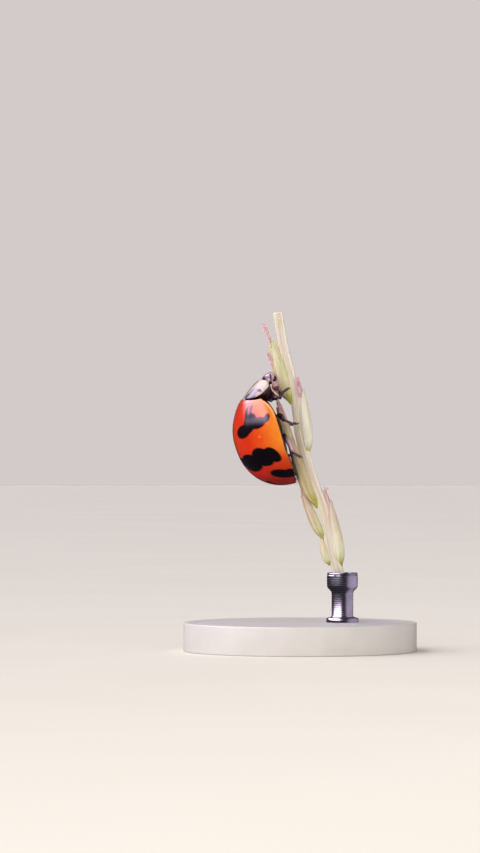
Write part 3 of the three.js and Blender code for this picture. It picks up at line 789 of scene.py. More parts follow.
# The shin's are parts of its radius.
SHIN = (
    (0.0, 0.4, 0.4), (0.05, 0.85, 0.8), (0.14, 0.95, 0.85), (0.35, 0.92, 0.85), (0.6, 1.05, 0.92),
    (0.82, 1.2, 1.0), (0.94, 1.22, 1.0), (0.98, 1.0, 0.85), (1.0, 0.5, 0.4),
)
FOOT = (
    (0.0, 0.025, 0.025), (0.03, 0.045, 0.04), (0.14, 0.06, 0.05), (0.27, 0.085, 0.055), (0.31, 0.07, 0.045),
    (0.33, 0.035, 0.03), (0.37, 0.05, 0.04), (0.48, 0.075, 0.05), (0.58, 0.095, 0.055), (0.62, 0.075, 0.045),
    (0.64, 0.032, 0.03), (0.7, 0.034, 0.032), (0.84, 0.042, 0.038), (0.95, 0.052, 0.045), (0.99, 0.045, 0.04),
    (1.0, 0.02, 0.02),
)
CLAW = ((0.0, 0.02, 0.018), (0.2, 0.024, 0.02), (0.5, 0.019, 0.016), (0.8, 0.011, 0.01), (1.0, 0.002, 0.002))
CLAW_TOOTH = ((0.0, 0.016, 0.014), (0.5, 0.011, 0.01), (1.0, 0.002, 0.002))
# The routes of a claw and its tooth: how far out and how far down.
CLAW_ROUTE = ((0.0, 0.0), (0.06, -0.006), (0.11, 0.03), (0.12, 0.08))
CLAW_TOOTH_ROUTE = ((0.035, 0.0), (0.041, 0.03), (0.055, 0.055))
JAW = ((0.0, 0.07, 0.05), (0.3, 0.08, 0.06), (0.6, 0.06, 0.045), (0.85, 0.035, 0.03), (1.0, 0.01, 0.01))
PALP = (
    (0.0, 0.03, 0.03), (0.04, 0.05, 0.05), (0.16, 0.06, 0.06), (0.2, 0.04, 0.04), (0.24, 0.055, 0.05),
    (0.45, 0.075, 0.06), (0.5, 0.045, 0.04), (0.54, 0.06, 0.05), (0.64, 0.085, 0.06), (0.68, 0.05, 0.04),
    (0.72, 0.08, 0.06), (0.82, 0.13, 0.075), (0.95, 0.165, 0.075), (0.985, 0.16, 0.06), (1.0, 0.12, 0.02),
)

FORE_BODY_STATIONS = (
    (2.92, 0.05, -0.14, 0.0), (2.9, 0.6, -0.4, 0.14), (2.7, 1.05, -0.58, 0.34), (2.42, 1.2, -0.62, 0.5),
    (2.12, 1.02, -0.5, 0.5), (1.94, 0.5, -0.3, 0.3), (1.92, 0.05, -0.1, 0.1),
)
TIP_STATIONS = (
    (-2.56, 0.1, -0.4, -0.34), (-2.62, 0.36, -0.46, -0.3), (-2.76, 0.38, -0.48, -0.3), (-2.88, 0.3, -0.48, -0.33),
    (-2.94, 0.05, -0.42, -0.38),
)
# Where the plates of the abdomen end, as y, and the hips of the rear pairs, as (x, y).
PLATE_EDGES = (0.12, -0.62, -1.12, -1.58, -2.0, -2.38)
HIPS = ((0.6, 1.0), (0.55, -0.1))

# The stem's middle line.
STEM_LINE = tuple((x, 0.0, z) for x, z in (
    (2.29, 3.95), (1.73, 5.63), (1.3, 7.9), (0.64, 9.8), (-0.03, 12.1), (-0.26, 14.2), (-0.89, 16.8),
    (-1.235, 18.8),
))
STEM_FOOT_Z = 3.95
STEM_RISE = 14.93
NERVES = (-0.66, -0.33, 0.0, 0.33, 0.66)

# Each spikelet: foot and tip (X, Z), width, depth, bow, Y, tint (0 tan to 1 cream), blush.
SPIKELETS = {
    "left_1": ((-0.66, 13.7), (-1.72, 17.6), 0.74, 0.72, -0.06, -0.02, 0.45, 0.1),
    "left_2": ((-0.42, 11.2), (-1.26, 14.02), 0.5, 0.6, 0.05, 0.06, 0.3, 1.1),
    "left_3": ((0.82, 7.9), (-0.78, 12.45), 0.62, 0.68, 0.02, -0.04, 0.26, 0.5),
    "left_4": ((1.28, 6.12), (-0.0, 9.2), 0.46, 0.56, 0.03, 0.03, 0.42, 0.8),
    "left_5": ((1.58, 4.75), (1.14, 6.3), 0.32, 0.4, 0.03, -0.05, 0.6, 0.3),
    "right_1": ((0.52, 10.75), (-0.1, 15.3), 0.6, 0.64, -0.02, 0.02, 0.92, 0.3),
    "right_2": ((2.4, 4.55), (1.36, 9.15), 0.54, 0.62, -0.03, -0.02, 0.72, 0.9),
}

# Each plume: root and tip, width, and its number of barbs.
PLUMES = (
    ((-1.6, -0.1, 17.1), (-2.1, -0.14, 18.26), 0.36, 170),
    ((-1.36, -0.1, 15.6), (-1.82, -0.16, 16.56), 0.36, 150),
    ((0.0, -0.2, 14.1), (-0.14, -0.26, 15.2), 0.34, 150),
    ((1.2, -0.2, 8.86), (1.54, -0.24, 9.08), 0.16, 50),
    ((-1.16, -0.1, 13.5), (-1.3, -0.14, 14.1), 0.24, 80),
)

# Lamps and camera stand in the frame, in metres. Each lamp: its place, what it's turned to, its size,
# its colour, and whether shiny surfaces mirror it.
BODY_MIDDLE = (-0.0015, 0, 0.012)
LAMPS = {
    "key": ((-0.06, -0.2, 0.18), BODY_MIDDLE, 0.12, "#FFF6EE", False),
    "fill": ((0.16, -0.16, 0.08), BODY_MIDDLE, 0.12, "#FFFAF2", False),
    "spark": ((-0.030, -0.030, 0.0022), (-0.0022, -0.002, 0.0107), 0.0016, "#FFF0E6", True),
}
CAMERA_PLACE = (-0.003342, -0.25, 0.012505)
CAMERA_LENS = 189.4
CAMERA_SENSOR = 36
# Where the window's soft edges lie, by direction: across and in height, with its tilt towards the rear.
WINDOW_ACROSS = (-0.12, -0.42)
WINDOW_HEIGHT = (0.02, 0.3)
WINDOW_TILT = -0.38
# The pale board's soft edge, by direction, and how bright the dark beside it is.
BOARD_ACROSS = (0.45, 0.8)
DARK = 0.06

DISC_THICKNESS = 1.6
ROD_X = 2.36
# The rod's outline, from the disc up to its cup and down inside it: height and radius.
ROD_PROFILE = (
    (1.6, 0.88), (1.66, 0.9), (1.78, 0.9), (1.84, 0.86), (1.9, 0.64), (1.98, 0.6), (3.2, 0.6), (3.3, 0.62),
    (3.5, 0.8), (3.6, 0.85), (3.7, 0.86), (4.2, 0.86), (4.24, 0.83), (4.27, 0.83), (4.31, 0.86), (4.34, 0.85),
    (4.36, 0.82), (4.36, 0.64), (4.34, 0.61), (4.3, 0.6), (3.9, 0.6), (3.86, 0.56),
)


# ---------------------------------------------------------------- settings


def colour_setting(name, description, colour):
    """A colour that the user can change."""
    return bpy.props.FloatVectorProperty(
        name=name, description=description, subtype="COLOR", size=4, min=0.0, max=1.0, default=linear(colour),
    )


def size_setting(name, description, default):
    """A size in millimetres that the user can change."""
    return amount_setting(name, description + ", in millimetres", default)


def amount_setting(name, description, default, **settings):
    """A strength or another amount that the user can change."""
    return bpy.props.FloatProperty(name=name, description=description, default=default, min=0.0, **settings)


class LadybirdSettings(bpy.types.PropertyGroup):
    """Sizes and colours of the ladybird."""

    case_wall: size_setting("Wing case wall", "Thickness of a wing case", 0.13)
    suture_gap: size_setting("Suture gap", "Half the gap between the wing cases", 0.012)
    shield_wall: size_setting("Pronotum wall", "Thickness of the pronotum", 0.07)
    bristle_length: size_setting("Leg bristles", "Length of the bristles on the shins", 0.085)
    case_colour: colour_setting("Wing cases", "Colour of the middle of the wing cases", "#D62C05")
    margin_colour: colour_setting("Margin", "Colour of the wing cases' outer margin", "#F08E2C")
    # Painted shade: the dark red that the wing cases' rear is darkened towards.
    rear_shade_colour: colour_setting("Rear", "Colour of the wing cases' rear", "#7C0C08")
    mark_colour: colour_setting("Markings", "Colour of the markings", "#0B0507")
    shield_colour: colour_setting("Pronotum", "Colour of the pronotum", "#CAB8A2")
    head_colour: colour_setting("Head", "Colour of the head", "#C79A9C")
    leg_colour: colour_setting("Legs", "Colour of the legs", "#3A1E2A")


class GrassSettings(bpy.types.PropertyGroup):
    """Sizes and colours of the grass."""

    stem_half_width: size_setting("Stem half width", "Half the stem's width", 0.27)
    stem_half_depth: size_setting("Stem half depth", "Half the stem's depth", 0.23)
    husk_wall: size_setting("Husk wall", "Thickness of a husk", 0.02)
    barb_width: size_setting("Plume barbs", "Thickness of a plume's barbs", 0.042)
    straw_colour: colour_setting("Stem", "Colour of the stem", "#E4DAC6")
    foot_colour: colour_setting("Spikelet feet", "Colour of the spikelets' feet", "#B4B638")
    blush_colour: colour_setting("Blush", "Colour of the spikelets' pink tips", "#D698A4")
    plume_colour: colour_setting("Plumes", "Colour of the plumes", "#EDC2CE")


class StandSettings(bpy.types.PropertyGroup):
    """Sizes and colours of the display stand."""

    disc_radius: size_setting("Disc radius", "Radius of the stand's disc", 6.5)
    edge_bevel: size_setting("Disc bevel", "Width of the bevel on the disc's edges", 0.22)
    disc_colour: colour_setting("Disc", "Colour of the disc", "#DBD8D2")
    steel_colour: colour_setting("Rod", "Colour of the rod's steel", "#C2C3C5")


class StageSettings(bpy.types.PropertyGroup):
    """The floor and the lights."""

    floor_radius: amount_setting("Floor radius", "Radius of the studio floor", 0.7, unit="LENGTH")
    window_strength: amount_setting("Window light", "Strength of the broad soft light from the left", 2.15)
    mirrored_window: amount_setting("Mirrored window", "Strength of the window that shiny surfaces mirror", 6.8)
    board_strength: amount_setting("Mirrored board", "Strength of the board that shiny surfaces mirror", 0.9)
    world_strength: amount_setting("Room light", "Strength of the pale light all round", 0.3)
    key_power: amount_setting("Key light", "Power of the soft light on the camera's left", 0.14, unit="POWER")
    fill_power: amount_setting("Fill light", "Power of the soft light on the camera's right", 0.15, unit="POWER")
    spark_power: amount_setting("Spark", "Power of the small light that shiny surfaces mirror", 0.00003, unit="POWER")
    floor_colour: colour_setting("Floor", "Colour of the studio floor", "#E9E6D6")
    wall_colour: colour_setting("Wall", "Colour of the room behind", "#D2CBC9")


# ---------------------------------------------------------------- pieces


class LADYBIRD_OT_wing_cases(bpy.types.Operator):
    """Models both wing cases: a domed sheet with its bead, suture groove and shoulder, then its wall"""

    bl_idname = "ladybird.wing_cases"
    bl_label = "Wing cases"

    def execute(self, context):
        settings = context.scene.ladybird
        case = sheet("elytron_right_cuticle", 88, 132)
        arcs = {}
        rear_rows = 0.7
        far = 9.0

        def lie(point):
            """Where a point of the sheet lies: y, turn, distance from the margin and from the suture."""
            v = point.y
            if v < rear_rows:
                y = CASE_WIDEST_Y - CASE_REAR_REACH * math.cos(math.pi / 2 * v / rear_rows)
            else:
                y = lerp(CASE_WIDEST_Y, CASE_FRONT_Y, (v - rear_rows) / (1 - rear_rows))
            key = round(v, 5)
            if key not in arcs:
                arcs[key] = case_arc(y)
            run = arcs[key]
            # The columns are closer together at the margin and at the suture.
            t = min(max(point.x, 0.0), 1.0)
            u = t - 0.7 * math.sin(math.tau * t) / math.tau
            place = u * (len(run) - 1)
            i = min(int(place), len(run) - 2)
            edge = lerp(run[i], run[i + 1], place - i)
            return y, math.pi / 2 * u, edge, run[-1] - edge

        def mark(point):
            y, turn, edge, seam = lie(point)
            q = case_point(turn, y).y
            # A thin black line runs along the margin at the rear.
            line = edge - 0.01 - 0.05 * ease(-2.3, -2.7, q) if q < -2.4 else far
            return min(outside(seam, q, WING_ROUNDS, WING_STROKES, 0.03), line, far)

        # Painted shade: how far each point's colour is darkened towards the rear.
        def rear(point):
            y = lie(point)[0]
            return ease(-0.4, -1.7, y) + ease(-1.6, -2.7, y)

        def form(point):
            y, turn, edge, seam = lie(point)
            place = case_point(turn, y)
            full = ease(0.0, 0.5, case_half(y))
            # The bead along the margin, and the gutter inside it.
            place.x += full * (0.012 * bump(edge, 0.03, 0.06) - 0.005 * bump(edge, 0.15, 0.05))
            # The grooves along the suture and the front edge.
            place.z -= 0.045 * full * bump(seam, 0.0, 0.05)
            place.z -= 0.05 * bump(CASE_FRONT_Y - y, 0.0, 0.07)
            # The shoulder's swelling.
            shoulder = bump(place.y, 1.72, 0.34) * bump(turn, 0.62, 0.24)
            place += Vector((math.cos(turn), 0.0, math.sin(turn))) * 0.05 * shoulder
            place.x += settings.suture_gap
            return place

        note(case, mark=mark, edge=lambda point: lie(point)[2], rear=rear)
        mould(case, form)
        closed(case)
        thicken(case, settings.case_wall)
        hand_over_pair(case, wing_case_finish(settings), "elytron", 50)
        return {"FINISHED"}


class LADYBIRD_OT_scutellum(bpy.types.Operator):
    """Models the small triangular plate between the wing cases' front corners"""

    bl_idname = "ladybird.scutellum"
    bl_label = "Scutellum"

    def execute(self, context):
        clear()
        bpy.ops.mesh.primitive_circle_add(vertices=3, radius=1, fill_type="NGON")
        plate = named("scutellum_plate")
        edit(plate)
        bpy.ops.mesh.extrude_region_move(TRANSFORM_OT_translate={"value": (0, 0, 0.16)})
        bpy.ops.mesh.inset(thickness=0.16, depth=0.05)
        outwards()

        def form(point):
            """The first corner points to the rear, and the plate follows the back's curve."""
            x = 0.3 * point.x
            y = CASE_FRONT_Y + 0.06 - 0.2 * (point.y + 0.5)
            return Vector((x, y, case_crest(min(y, CASE_FRONT_Y)) - 0.26 - 0.9 * x * x + point.z))

        mould(plate, form)
        apply_modifier(plate, "BEVEL", width=0.03, segments=3, limit_method="ANGLE")
        finish = dark_cuticle("beetle_cuticle_black", "#0C0608", "#140A0E", "#20121A", 6.0, 0.3)
        hand_over(plate, ON_BEETLE, finish, ["scutellum"], 40)
        return {"FINISHED"}


class LADYBIRD_OT_pronotum(bpy.types.Operator):
    """Models the shield behind the head, with its rolled edges and its dark lining"""

    bl_idname = "ladybird.pronotum"
    bl_label = "Pronotum"

    def execute(self, context):
        settings = context.scene.ladybird

        def mark(point):
            x, along, rim = shield_spot(point)
            return outside(abs(x), along, SHIELD_ROUNDS, SHIELD_STROKES, 0.03)

        def sheen(point):
            """The small outer dot is dull, and all the rest may shine."""
            x, along, rim = shield_spot(point)
            (side, slope), (wide, tall) = SHIELD_ROUNDS[0]
            return ease(1.1, 1.5, math.hypot((abs(x) - side) / wide, (along - slope) / tall))

        def form(point):
            """The face rolls over at its rim, inside a shallow gutter."""
            x, along, rim = shield_spot(point)
            gutter = 0.012 * bump(rim, 0.9, 0.04) * ease(0.7, 1.1, abs(x))
            return shield_point(x, along, gutter + 0.07 * ease(0.94, 1.0, rim))

        shell = sheet("pronotum_cuticle", 120, 56)
        note(shell, mark=mark, sheen=sheen)
        mould(shell, form)
        closed(shell)
        thicken(shell, settings.shield_wall)
        lining = sheet("pronotum_lining", 60, 30)
        mould(lining, lambda point: shield_point(*shield_spot(point, 0.93)[:2], 0.12))
        closed(lining)
        thicken(lining, 0.24)
        hand_over(shell, ON_BEETLE, shield_finish(settings), ["pronotum"])
        dark = dark_cuticle("beetle_cuticle_lining", "#1A0C12", "#2A141C", "#43232E", 6.0, 0.34)
        hand_over(lining, ON_BEETLE, dark)
        return {"FINISHED"}


class LADYBIRD_OT_head(bpy.types.Operator):
    """Models the head: a rounded capsule with its brow, cheeks and clypeus"""

    bl_idname = "ladybird.head"
    bl_label = "Head"

    def execute(self, context):
        head = rounded("head_cuticle", HEAD_STATIONS, 80, 64, 2.3)

        def mark(point):
            """The black band at the vertex, and painted shade along the side below the pronotum; none within 0.13 mm
            of the middle.
            """
            return max(outside(point.y, point.z, HEAD_SHADE_ROUNDS, HEAD_MARK_AND_SHADE_STROKES, 0.02), 0.13 - abs(point.x))

        def sculpt(point):
            """The forehead is dented between the eyes, above a raised clypeus."""
            x, y, z = point
            face = ease(-0.6, -1.0, z)
            dent = 0.05 * face * bump(x, 0.0, 0.34) * bump(y, 2.86, 0.24)
            lip = 0.035 * face * bump(y, 2.36, 0.09) * bump(x, 0.0, 0.45)
            cheek = 0.03 * bump(y, 2.62, 0.14) * bump(z, -0.72, 0.2) * ease(0.5, 0.8, abs(x))
            return Vector((x + math.copysign(cheek, x), y, z + dent - lip))

        note(head, mark=mark)
        mould(head, sculpt)
        closed(head)
        hand_over(head, ON_BEETLE, head_finish(context.scene.ladybird), ["head"])
        return {"FINISHED"}


class LADYBIRD_OT_eyes(bpy.types.Operator):
    """Models the compound eyes, notched in front where the feelers start"""

    bl_idname = "ladybird.eyes"
    bl_label = "Eyes"

    def execute(self, context):
        clear()
        bpy.ops.mesh.primitive_uv_sphere_add(segments=64, ring_count=40, radius=1)
        eye = named("eye_right_facets")

        def form(point):
            notch = 0.22 * bump(point.y, -0.75, 0.35) * bump(point.z, -0.6, 0.5)
            local = Vector(p * radius for p, radius in zip(point, EYE_RADII)) * (1 - notch)
            local.rotate(Matrix.Rotation(-EYE_SLANT, 3, "X"))
            return local + Vector(EYE_PLACE)

        mould(eye, form)
        closed(eye)
        hand_over_pair(eye, eye_finish(), "eye")
        return {"FINISHED"}


class LADYBIRD_OT_feelers(bpy.types.Operator):
    """Models the clubbed feelers, eleven segments each"""

    bl_idname = "ladybird.feelers"
    bl_label = "Feelers"

    def execute(self, context):
        whole = sum(length for length, radius in ANTENNA_SEGMENTS)
        sections = [(0.0, 0.03, 0.03)]
        start = 0.0
        for length, radius in ANTENNA_SEGMENTS:
            for part, scale in ANTENNA_BEAD:
                sections.append(((start + part * length) / whole, radius * scale, radius * scale))
            start += length
        sections.append((1.0, 0.02, 0.02))
        feeler = drawn("antenna_right_segments", sections, 20)
        note(feeler, out=lambda point: ease(0.55, 1.0, point.z))
        follow(feeler, ANTENNA_ROUTE, (1, 0, 0))
        hand_over_pair(feeler, feeler_finish(), "antenna")
        return {"FINISHED"}


class LADYBIRD_OT_mouthparts(bpy.types.Operator):
    """Models the lip, the jaws and the palps with their axe-shaped ends"""

    bl_idname = "ladybird.mouthparts"
    bl_label = "Mouthparts"

    def execute(self, context):
        dark = dark_cuticle("beetle_cuticle_mouth", "#2A1218", "#4A2630", "#6E4048", 8.0, 0.36)
        lip = rounded("mouthparts_lip", MOUTH_STATIONS, 40, 28, 2.6)
        closed(lip)
        # Two curved jaws under the lip, crossed at their tips.
        jaws = []
        for side in (1, -1):
            jaw = drawn("mouthparts_jaw", JAW, 14)
            follow(jaw, [(side * x, y, z) for x, y, z in JAW_ROUTE], (0, 0, 1))
            jaws.append(jaw)
        mouth = joined("mouthparts_cuticle", [lip, *jaws])
        hand_over(mouth, ON_BEETLE, dark, ["mouthparts"], 50)
        palp = drawn("palp_right_segments", PALP, 20)
        follow(palp, PALP_ROUTE)
        hand_over_pair(palp, dark, "palp", 50)
        return {"FINISHED"}


class LADYBIRD_OT_underside(bpy.types.Operator):
    """Models the body under the wing cases: fore body, breast and the abdomen's plates"""

    bl_idname = "ladybird.underside"
    bl_label = "Underside"

    def execute(self, context):
        trunk = rounded("body_underside", self.stations(34), 96, 150)

        def sculpt(point):
            """Stepped plates, a groove along the breast, and a swelling at each hip."""
            x, y, z = point
            under = ease(0.1, -0.1, z - case_margin(y))
            backs = [y - edge - 0.1 * (abs(x) / 2.2) ** 2 for edge in PLATE_EDGES]
            step = max((math.exp(-back / 0.16) for back in backs if back >= 0), default=0.0)
            groove = 0.03 * bump(x, 0.0, 0.04) * ease(0.1, 0.5, y)
            hips = sum(
                0.05 * bump(x, side * hip_x, 0.34) * bump(y, hip_y, 0.2) for side in (1, -1) for hip_x, hip_y in HIPS
            )
            return Vector((x, y, z - under * (0.03 * step - groove + hips)))

        mould(trunk, sculpt)
        closed(trunk)
        tip = rounded("abdomen_tip", TIP_STATIONS, 32, 20)
        closed(tip)
        note(tip, pale=lambda point: ease(-2.7, -2.82, point.y))
        trunk = joined("body_underside", [trunk, tip])
        fore = rounded("fore_body_underside", FORE_BODY_STATIONS, 64, 48, 2.3)

        def keel(point):
            """A low ridge along the middle of the fore body."""
            x, y, z = point
            return Vector((x, y, z - 0.05 * bump(x, 0.0, 0.12) * ease(-0.2, -0.5, z)))

        mould(fore, keel)
        closed(fore)
        finish = dark_cuticle("beetle_cuticle_underside", "#1C0E14", "#2E1820", "#4C2C36", 5.0, 0.5, 0.12)
        hand_over(trunk, ON_BEETLE, finish, ["thorax", "abdomen"], 50)
        hand_over(fore, ON_BEETLE, finish, ["prothorax"], 50)
        return {"FINISHED"}

    def stations(self, steps):
        """Sections of the trunk, inside the wing cases, with rounded ends."""
        stations = []
        for i in range(steps + 1):
            y = lerp(2.2, -2.74, i / steps)
            scale = 1 - 0.28 * min(max(0.0, (y - 1.3) / 0.82), 1.1)
            scale *= math.sqrt(max(0.0, min(1.0, i / 2.0, (steps - i) / 1.5)))
            half = case_half(y, 0.18) * scale
            low = case_margin(y) + 0.02
            belly = 0.33 * min(1.0, half / 1.2)
            rise = max(0.02, min(0.9, 0.6 * (case_crest(y) - low) - 0.1)) * scale
            stations.append((y, half, low - belly, low + rise))
        return stations


class LADYBIRD_OT_legs(bpy.types.Operator):
    """Models the six legs: hip, thigh, shin, lobed foot, toothed claws and bristles"""

    bl_idname = "ladybird.legs"
    bl_label = "Legs"

    def execute(self, context):
        settings = context.scene.ladybird
        finish = dark_cuticle("beetle_cuticle_leg", "#22101A", settings.leg_colour, "#5E3642", 9.0, 0.3)
        horn = dark_cuticle("beetle_claw_horn", "#2A140E", "#5A3018", "#8A5426", 14.0, 0.24)
        for pair, route in LEGS.items():
            hip, knee, ankle, toe = (Vector(point) for point in route)
            r = TIBIA_RADIUS[pair]
            shin = [(height, wide * r, deep * r) for height, wide, deep in SHIN]
            # Each model: its finish, whether it stands for a CAD node, and its smoothing angle.
            models = {
                "femur_cuticle": (self.thigh(pair, hip, knee), finish, True, 60),
                "tibia_cuticle": (self.bar(shin, 24, knee, ankle, (0.02, 0.0, -0.02)), finish, True, 60),
                "tarsus_cuticle": (self.bar(FOOT, 22, ankle, toe, (0.03, 0.0, -0.01)), finish, True, 60),
                "claws": (self.claws(ankle, toe), horn, False, 60),
                "bristles": (self.bristles(pair, knee, ankle, toe, settings.bristle_length), horn, False, 70),
            }
            for side, twin in (("right", copied), ("left", mirrored)):
                for part, (model, material, stands, angle) in models.items():
                    piece = twin(model, f"leg_{pair}_{side}_{part}")
                    nodes = [piece.name.removesuffix("_cuticle")] if stands else []
                    hand_over(piece, ON_BEETLE, material, nodes, angle)
            for model, *rest in models.values():
                bpy.data.objects.remove(model)
        return {"FINISHED"}

    def thigh(self, pair, hip, knee):
        """A flattened club with its hip ball; on the hind pair, a painted highlight on the outside."""
        thigh = drawn("thigh", THIGH, 28)
        if pair == "hind":
            # Painted highlight: the outside of each hind thigh is lightened, as where a shiny thigh mirrors the sky.
            note(thigh, pale=lambda point: 0.9 * ease(0.26, 0.42, point.z) * ease(0.98, 0.9, point.z) * max(
                0.0, math.cos(math.atan2(point.y, point.x) - 0.3)))
        middle = hip.lerp(knee, 0.5) + Vector((0.03, 0.04, -0.03))
        follow(thigh, (hip, middle, knee + (knee - hip).normalized() * 0.05))
        return thigh

    def bar(self, sections, sides, start, end, bow):
        """A shin or a foot, slightly bowed."""
        bar = drawn("leg_bar", sections, sides)
        follow(bar, (start, start.lerp(end, 0.5) + Vector(bow), end))
        return bar

    def bristles(self, pair, knee, ankle, toe, size):
        """Fine bristles all round the shin, and short ones under the foot."""
        rng = random.Random(len(pair))
        hair = bristle("bristle", 4, 0.4)
        places, patches = [], []
        # Each span: its ends, the leg's radius there, and the number and length of its bristles.
        spans = ((knee, ankle, TIBIA_RADIUS[pair], 60, size), (ankle, toe, 0.06, 50, 0.6 * size))
        for part, (start, end, radius, count, reach) in enumerate(spans):
            along, side, front = axes(start, end)
            for i in range(count):
                t = 0.12 + 0.84 * (i + rng.random()) / count
                turn = rng.uniform(0, math.tau)
                out = side * math.cos(turn) + front * math.sin(turn)
                root = start.lerp(end, t) + out * 0.8 * radius
                way = (out * rng.uniform(0.5, 0.9) + along).normalized()
                places.append(aimed(root, way, 0.0045, reach * rng.uniform(0.7, 1.1)))
                patches.append((0.5 * part + 0.48 * turn / math.tau, 0.97 * t))
        return strewn("bristles", hair, places, patches)

    def claws(self, ankle, toe):
        """Two hooked claws, each with a tooth at its base."""
        along = (toe - ankle).normalized()
        # They hook towards the grass, and spread apart at their tips.
        down = Vector((-0.8, 0.0, -0.6))
        down = (down - along * down.dot(along)).normalized()
        across = along.cross(down)
        parts = []
        for spread in (1, -1):
            out = (along + across * 0.45 * spread).normalized()
            start = toe - along * 0.02 + across * 0.018 * spread
            hook = drawn("hook", CLAW, 12)
            follow(hook, [start + out * a + down * b for a, b in CLAW_ROUTE], down)
            tooth = drawn("tooth", CLAW_TOOTH, 10)
            follow(tooth, [start + out * a + down * b for a, b in CLAW_TOOTH_ROUTE], out)
            parts += [hook, tooth]
        return joined("claws", parts)


class LADYBIRD_OT_stem(bpy.types.Operator):
    """Models the cut length of grass stem: ribbed, flattened, with two cut ends"""

    bl_idname = "ladybird.stem"
    bl_label = "Grass stem"

    def execute(self, context):
        grass = context.scene.ladybird_grass
        count = 80
        heights = [(0.0, 0.93), (0.002, 1.0), *((i / count, 1.0) for i in range(1, count)), (0.998, 1.0), (1.0, 0.93)]
        stem = drawn("perch_stem_ribbed", [(height, wide, wide) for height, wide in heights], 72)
        edit(stem)
        pick_faces(stem, lambda face: abs(face.normal.z) > 0.9)
        bpy.ops.mesh.inset(thickness=0.25, depth=0)
        bpy.ops.mesh.inset(thickness=0.3, depth=-0.002)
        clear()

        def ribs(point):
            """The even fibres' wave, and the three strong ribs."""
            turn = math.atan2(point.y, point.x)
            wave = math.cos(9 * turn + 0.6 * math.sin(5 * point.z))
            near = max(0.0, math.cos(turn + 0.6 + 0.1 * math.sin(9 * point.z))) ** 12
            far = max(0.0, math.cos(turn + 2.5 + 0.1 * math.sin(7 * point.z))) ** 40
            back = max(0.0, math.cos(turn - 1.6)) ** 30
            return wave, near + 0.7 * far + 0.6 * back

        def rib(point):
            wave, keel = ribs(point)
            return min(1.0, 0.9 * keel + 0.2 * max(0.0, wave))

        feet = [(foot[1] - STEM_FOOT_Z) / STEM_RISE for foot, *rest in SPIKELETS.values()]

        def form(point):
            """The ribs, and a swollen node at each spikelet's foot."""
            wave, keel = ribs(point)
            node = sum(0.1 * bump(point.z, foot, 0.02) for foot in feet)
            grow = 1 + (0.04 * wave + 0.05 * keel + node) * math.hypot(point.x, point.y) - 0.02
            return Vector((grass.stem_half_width * point.x * grow, grass.stem_half_depth * point.y * grow, point.z))

        note(
            stem, along=lambda point: 15.0 * point.z,
            round=lambda point: 0.25 * math.atan2(abs(point.y), point.x), rib=rib,
        )
        mould(stem, form)
        follow(stem, STEM_LINE, (1, 0, 0))
        hand_over(stem, IN_FRAME, stem_finish(grass), ["perch_stem"], 50)
        return {"FINISHED"}


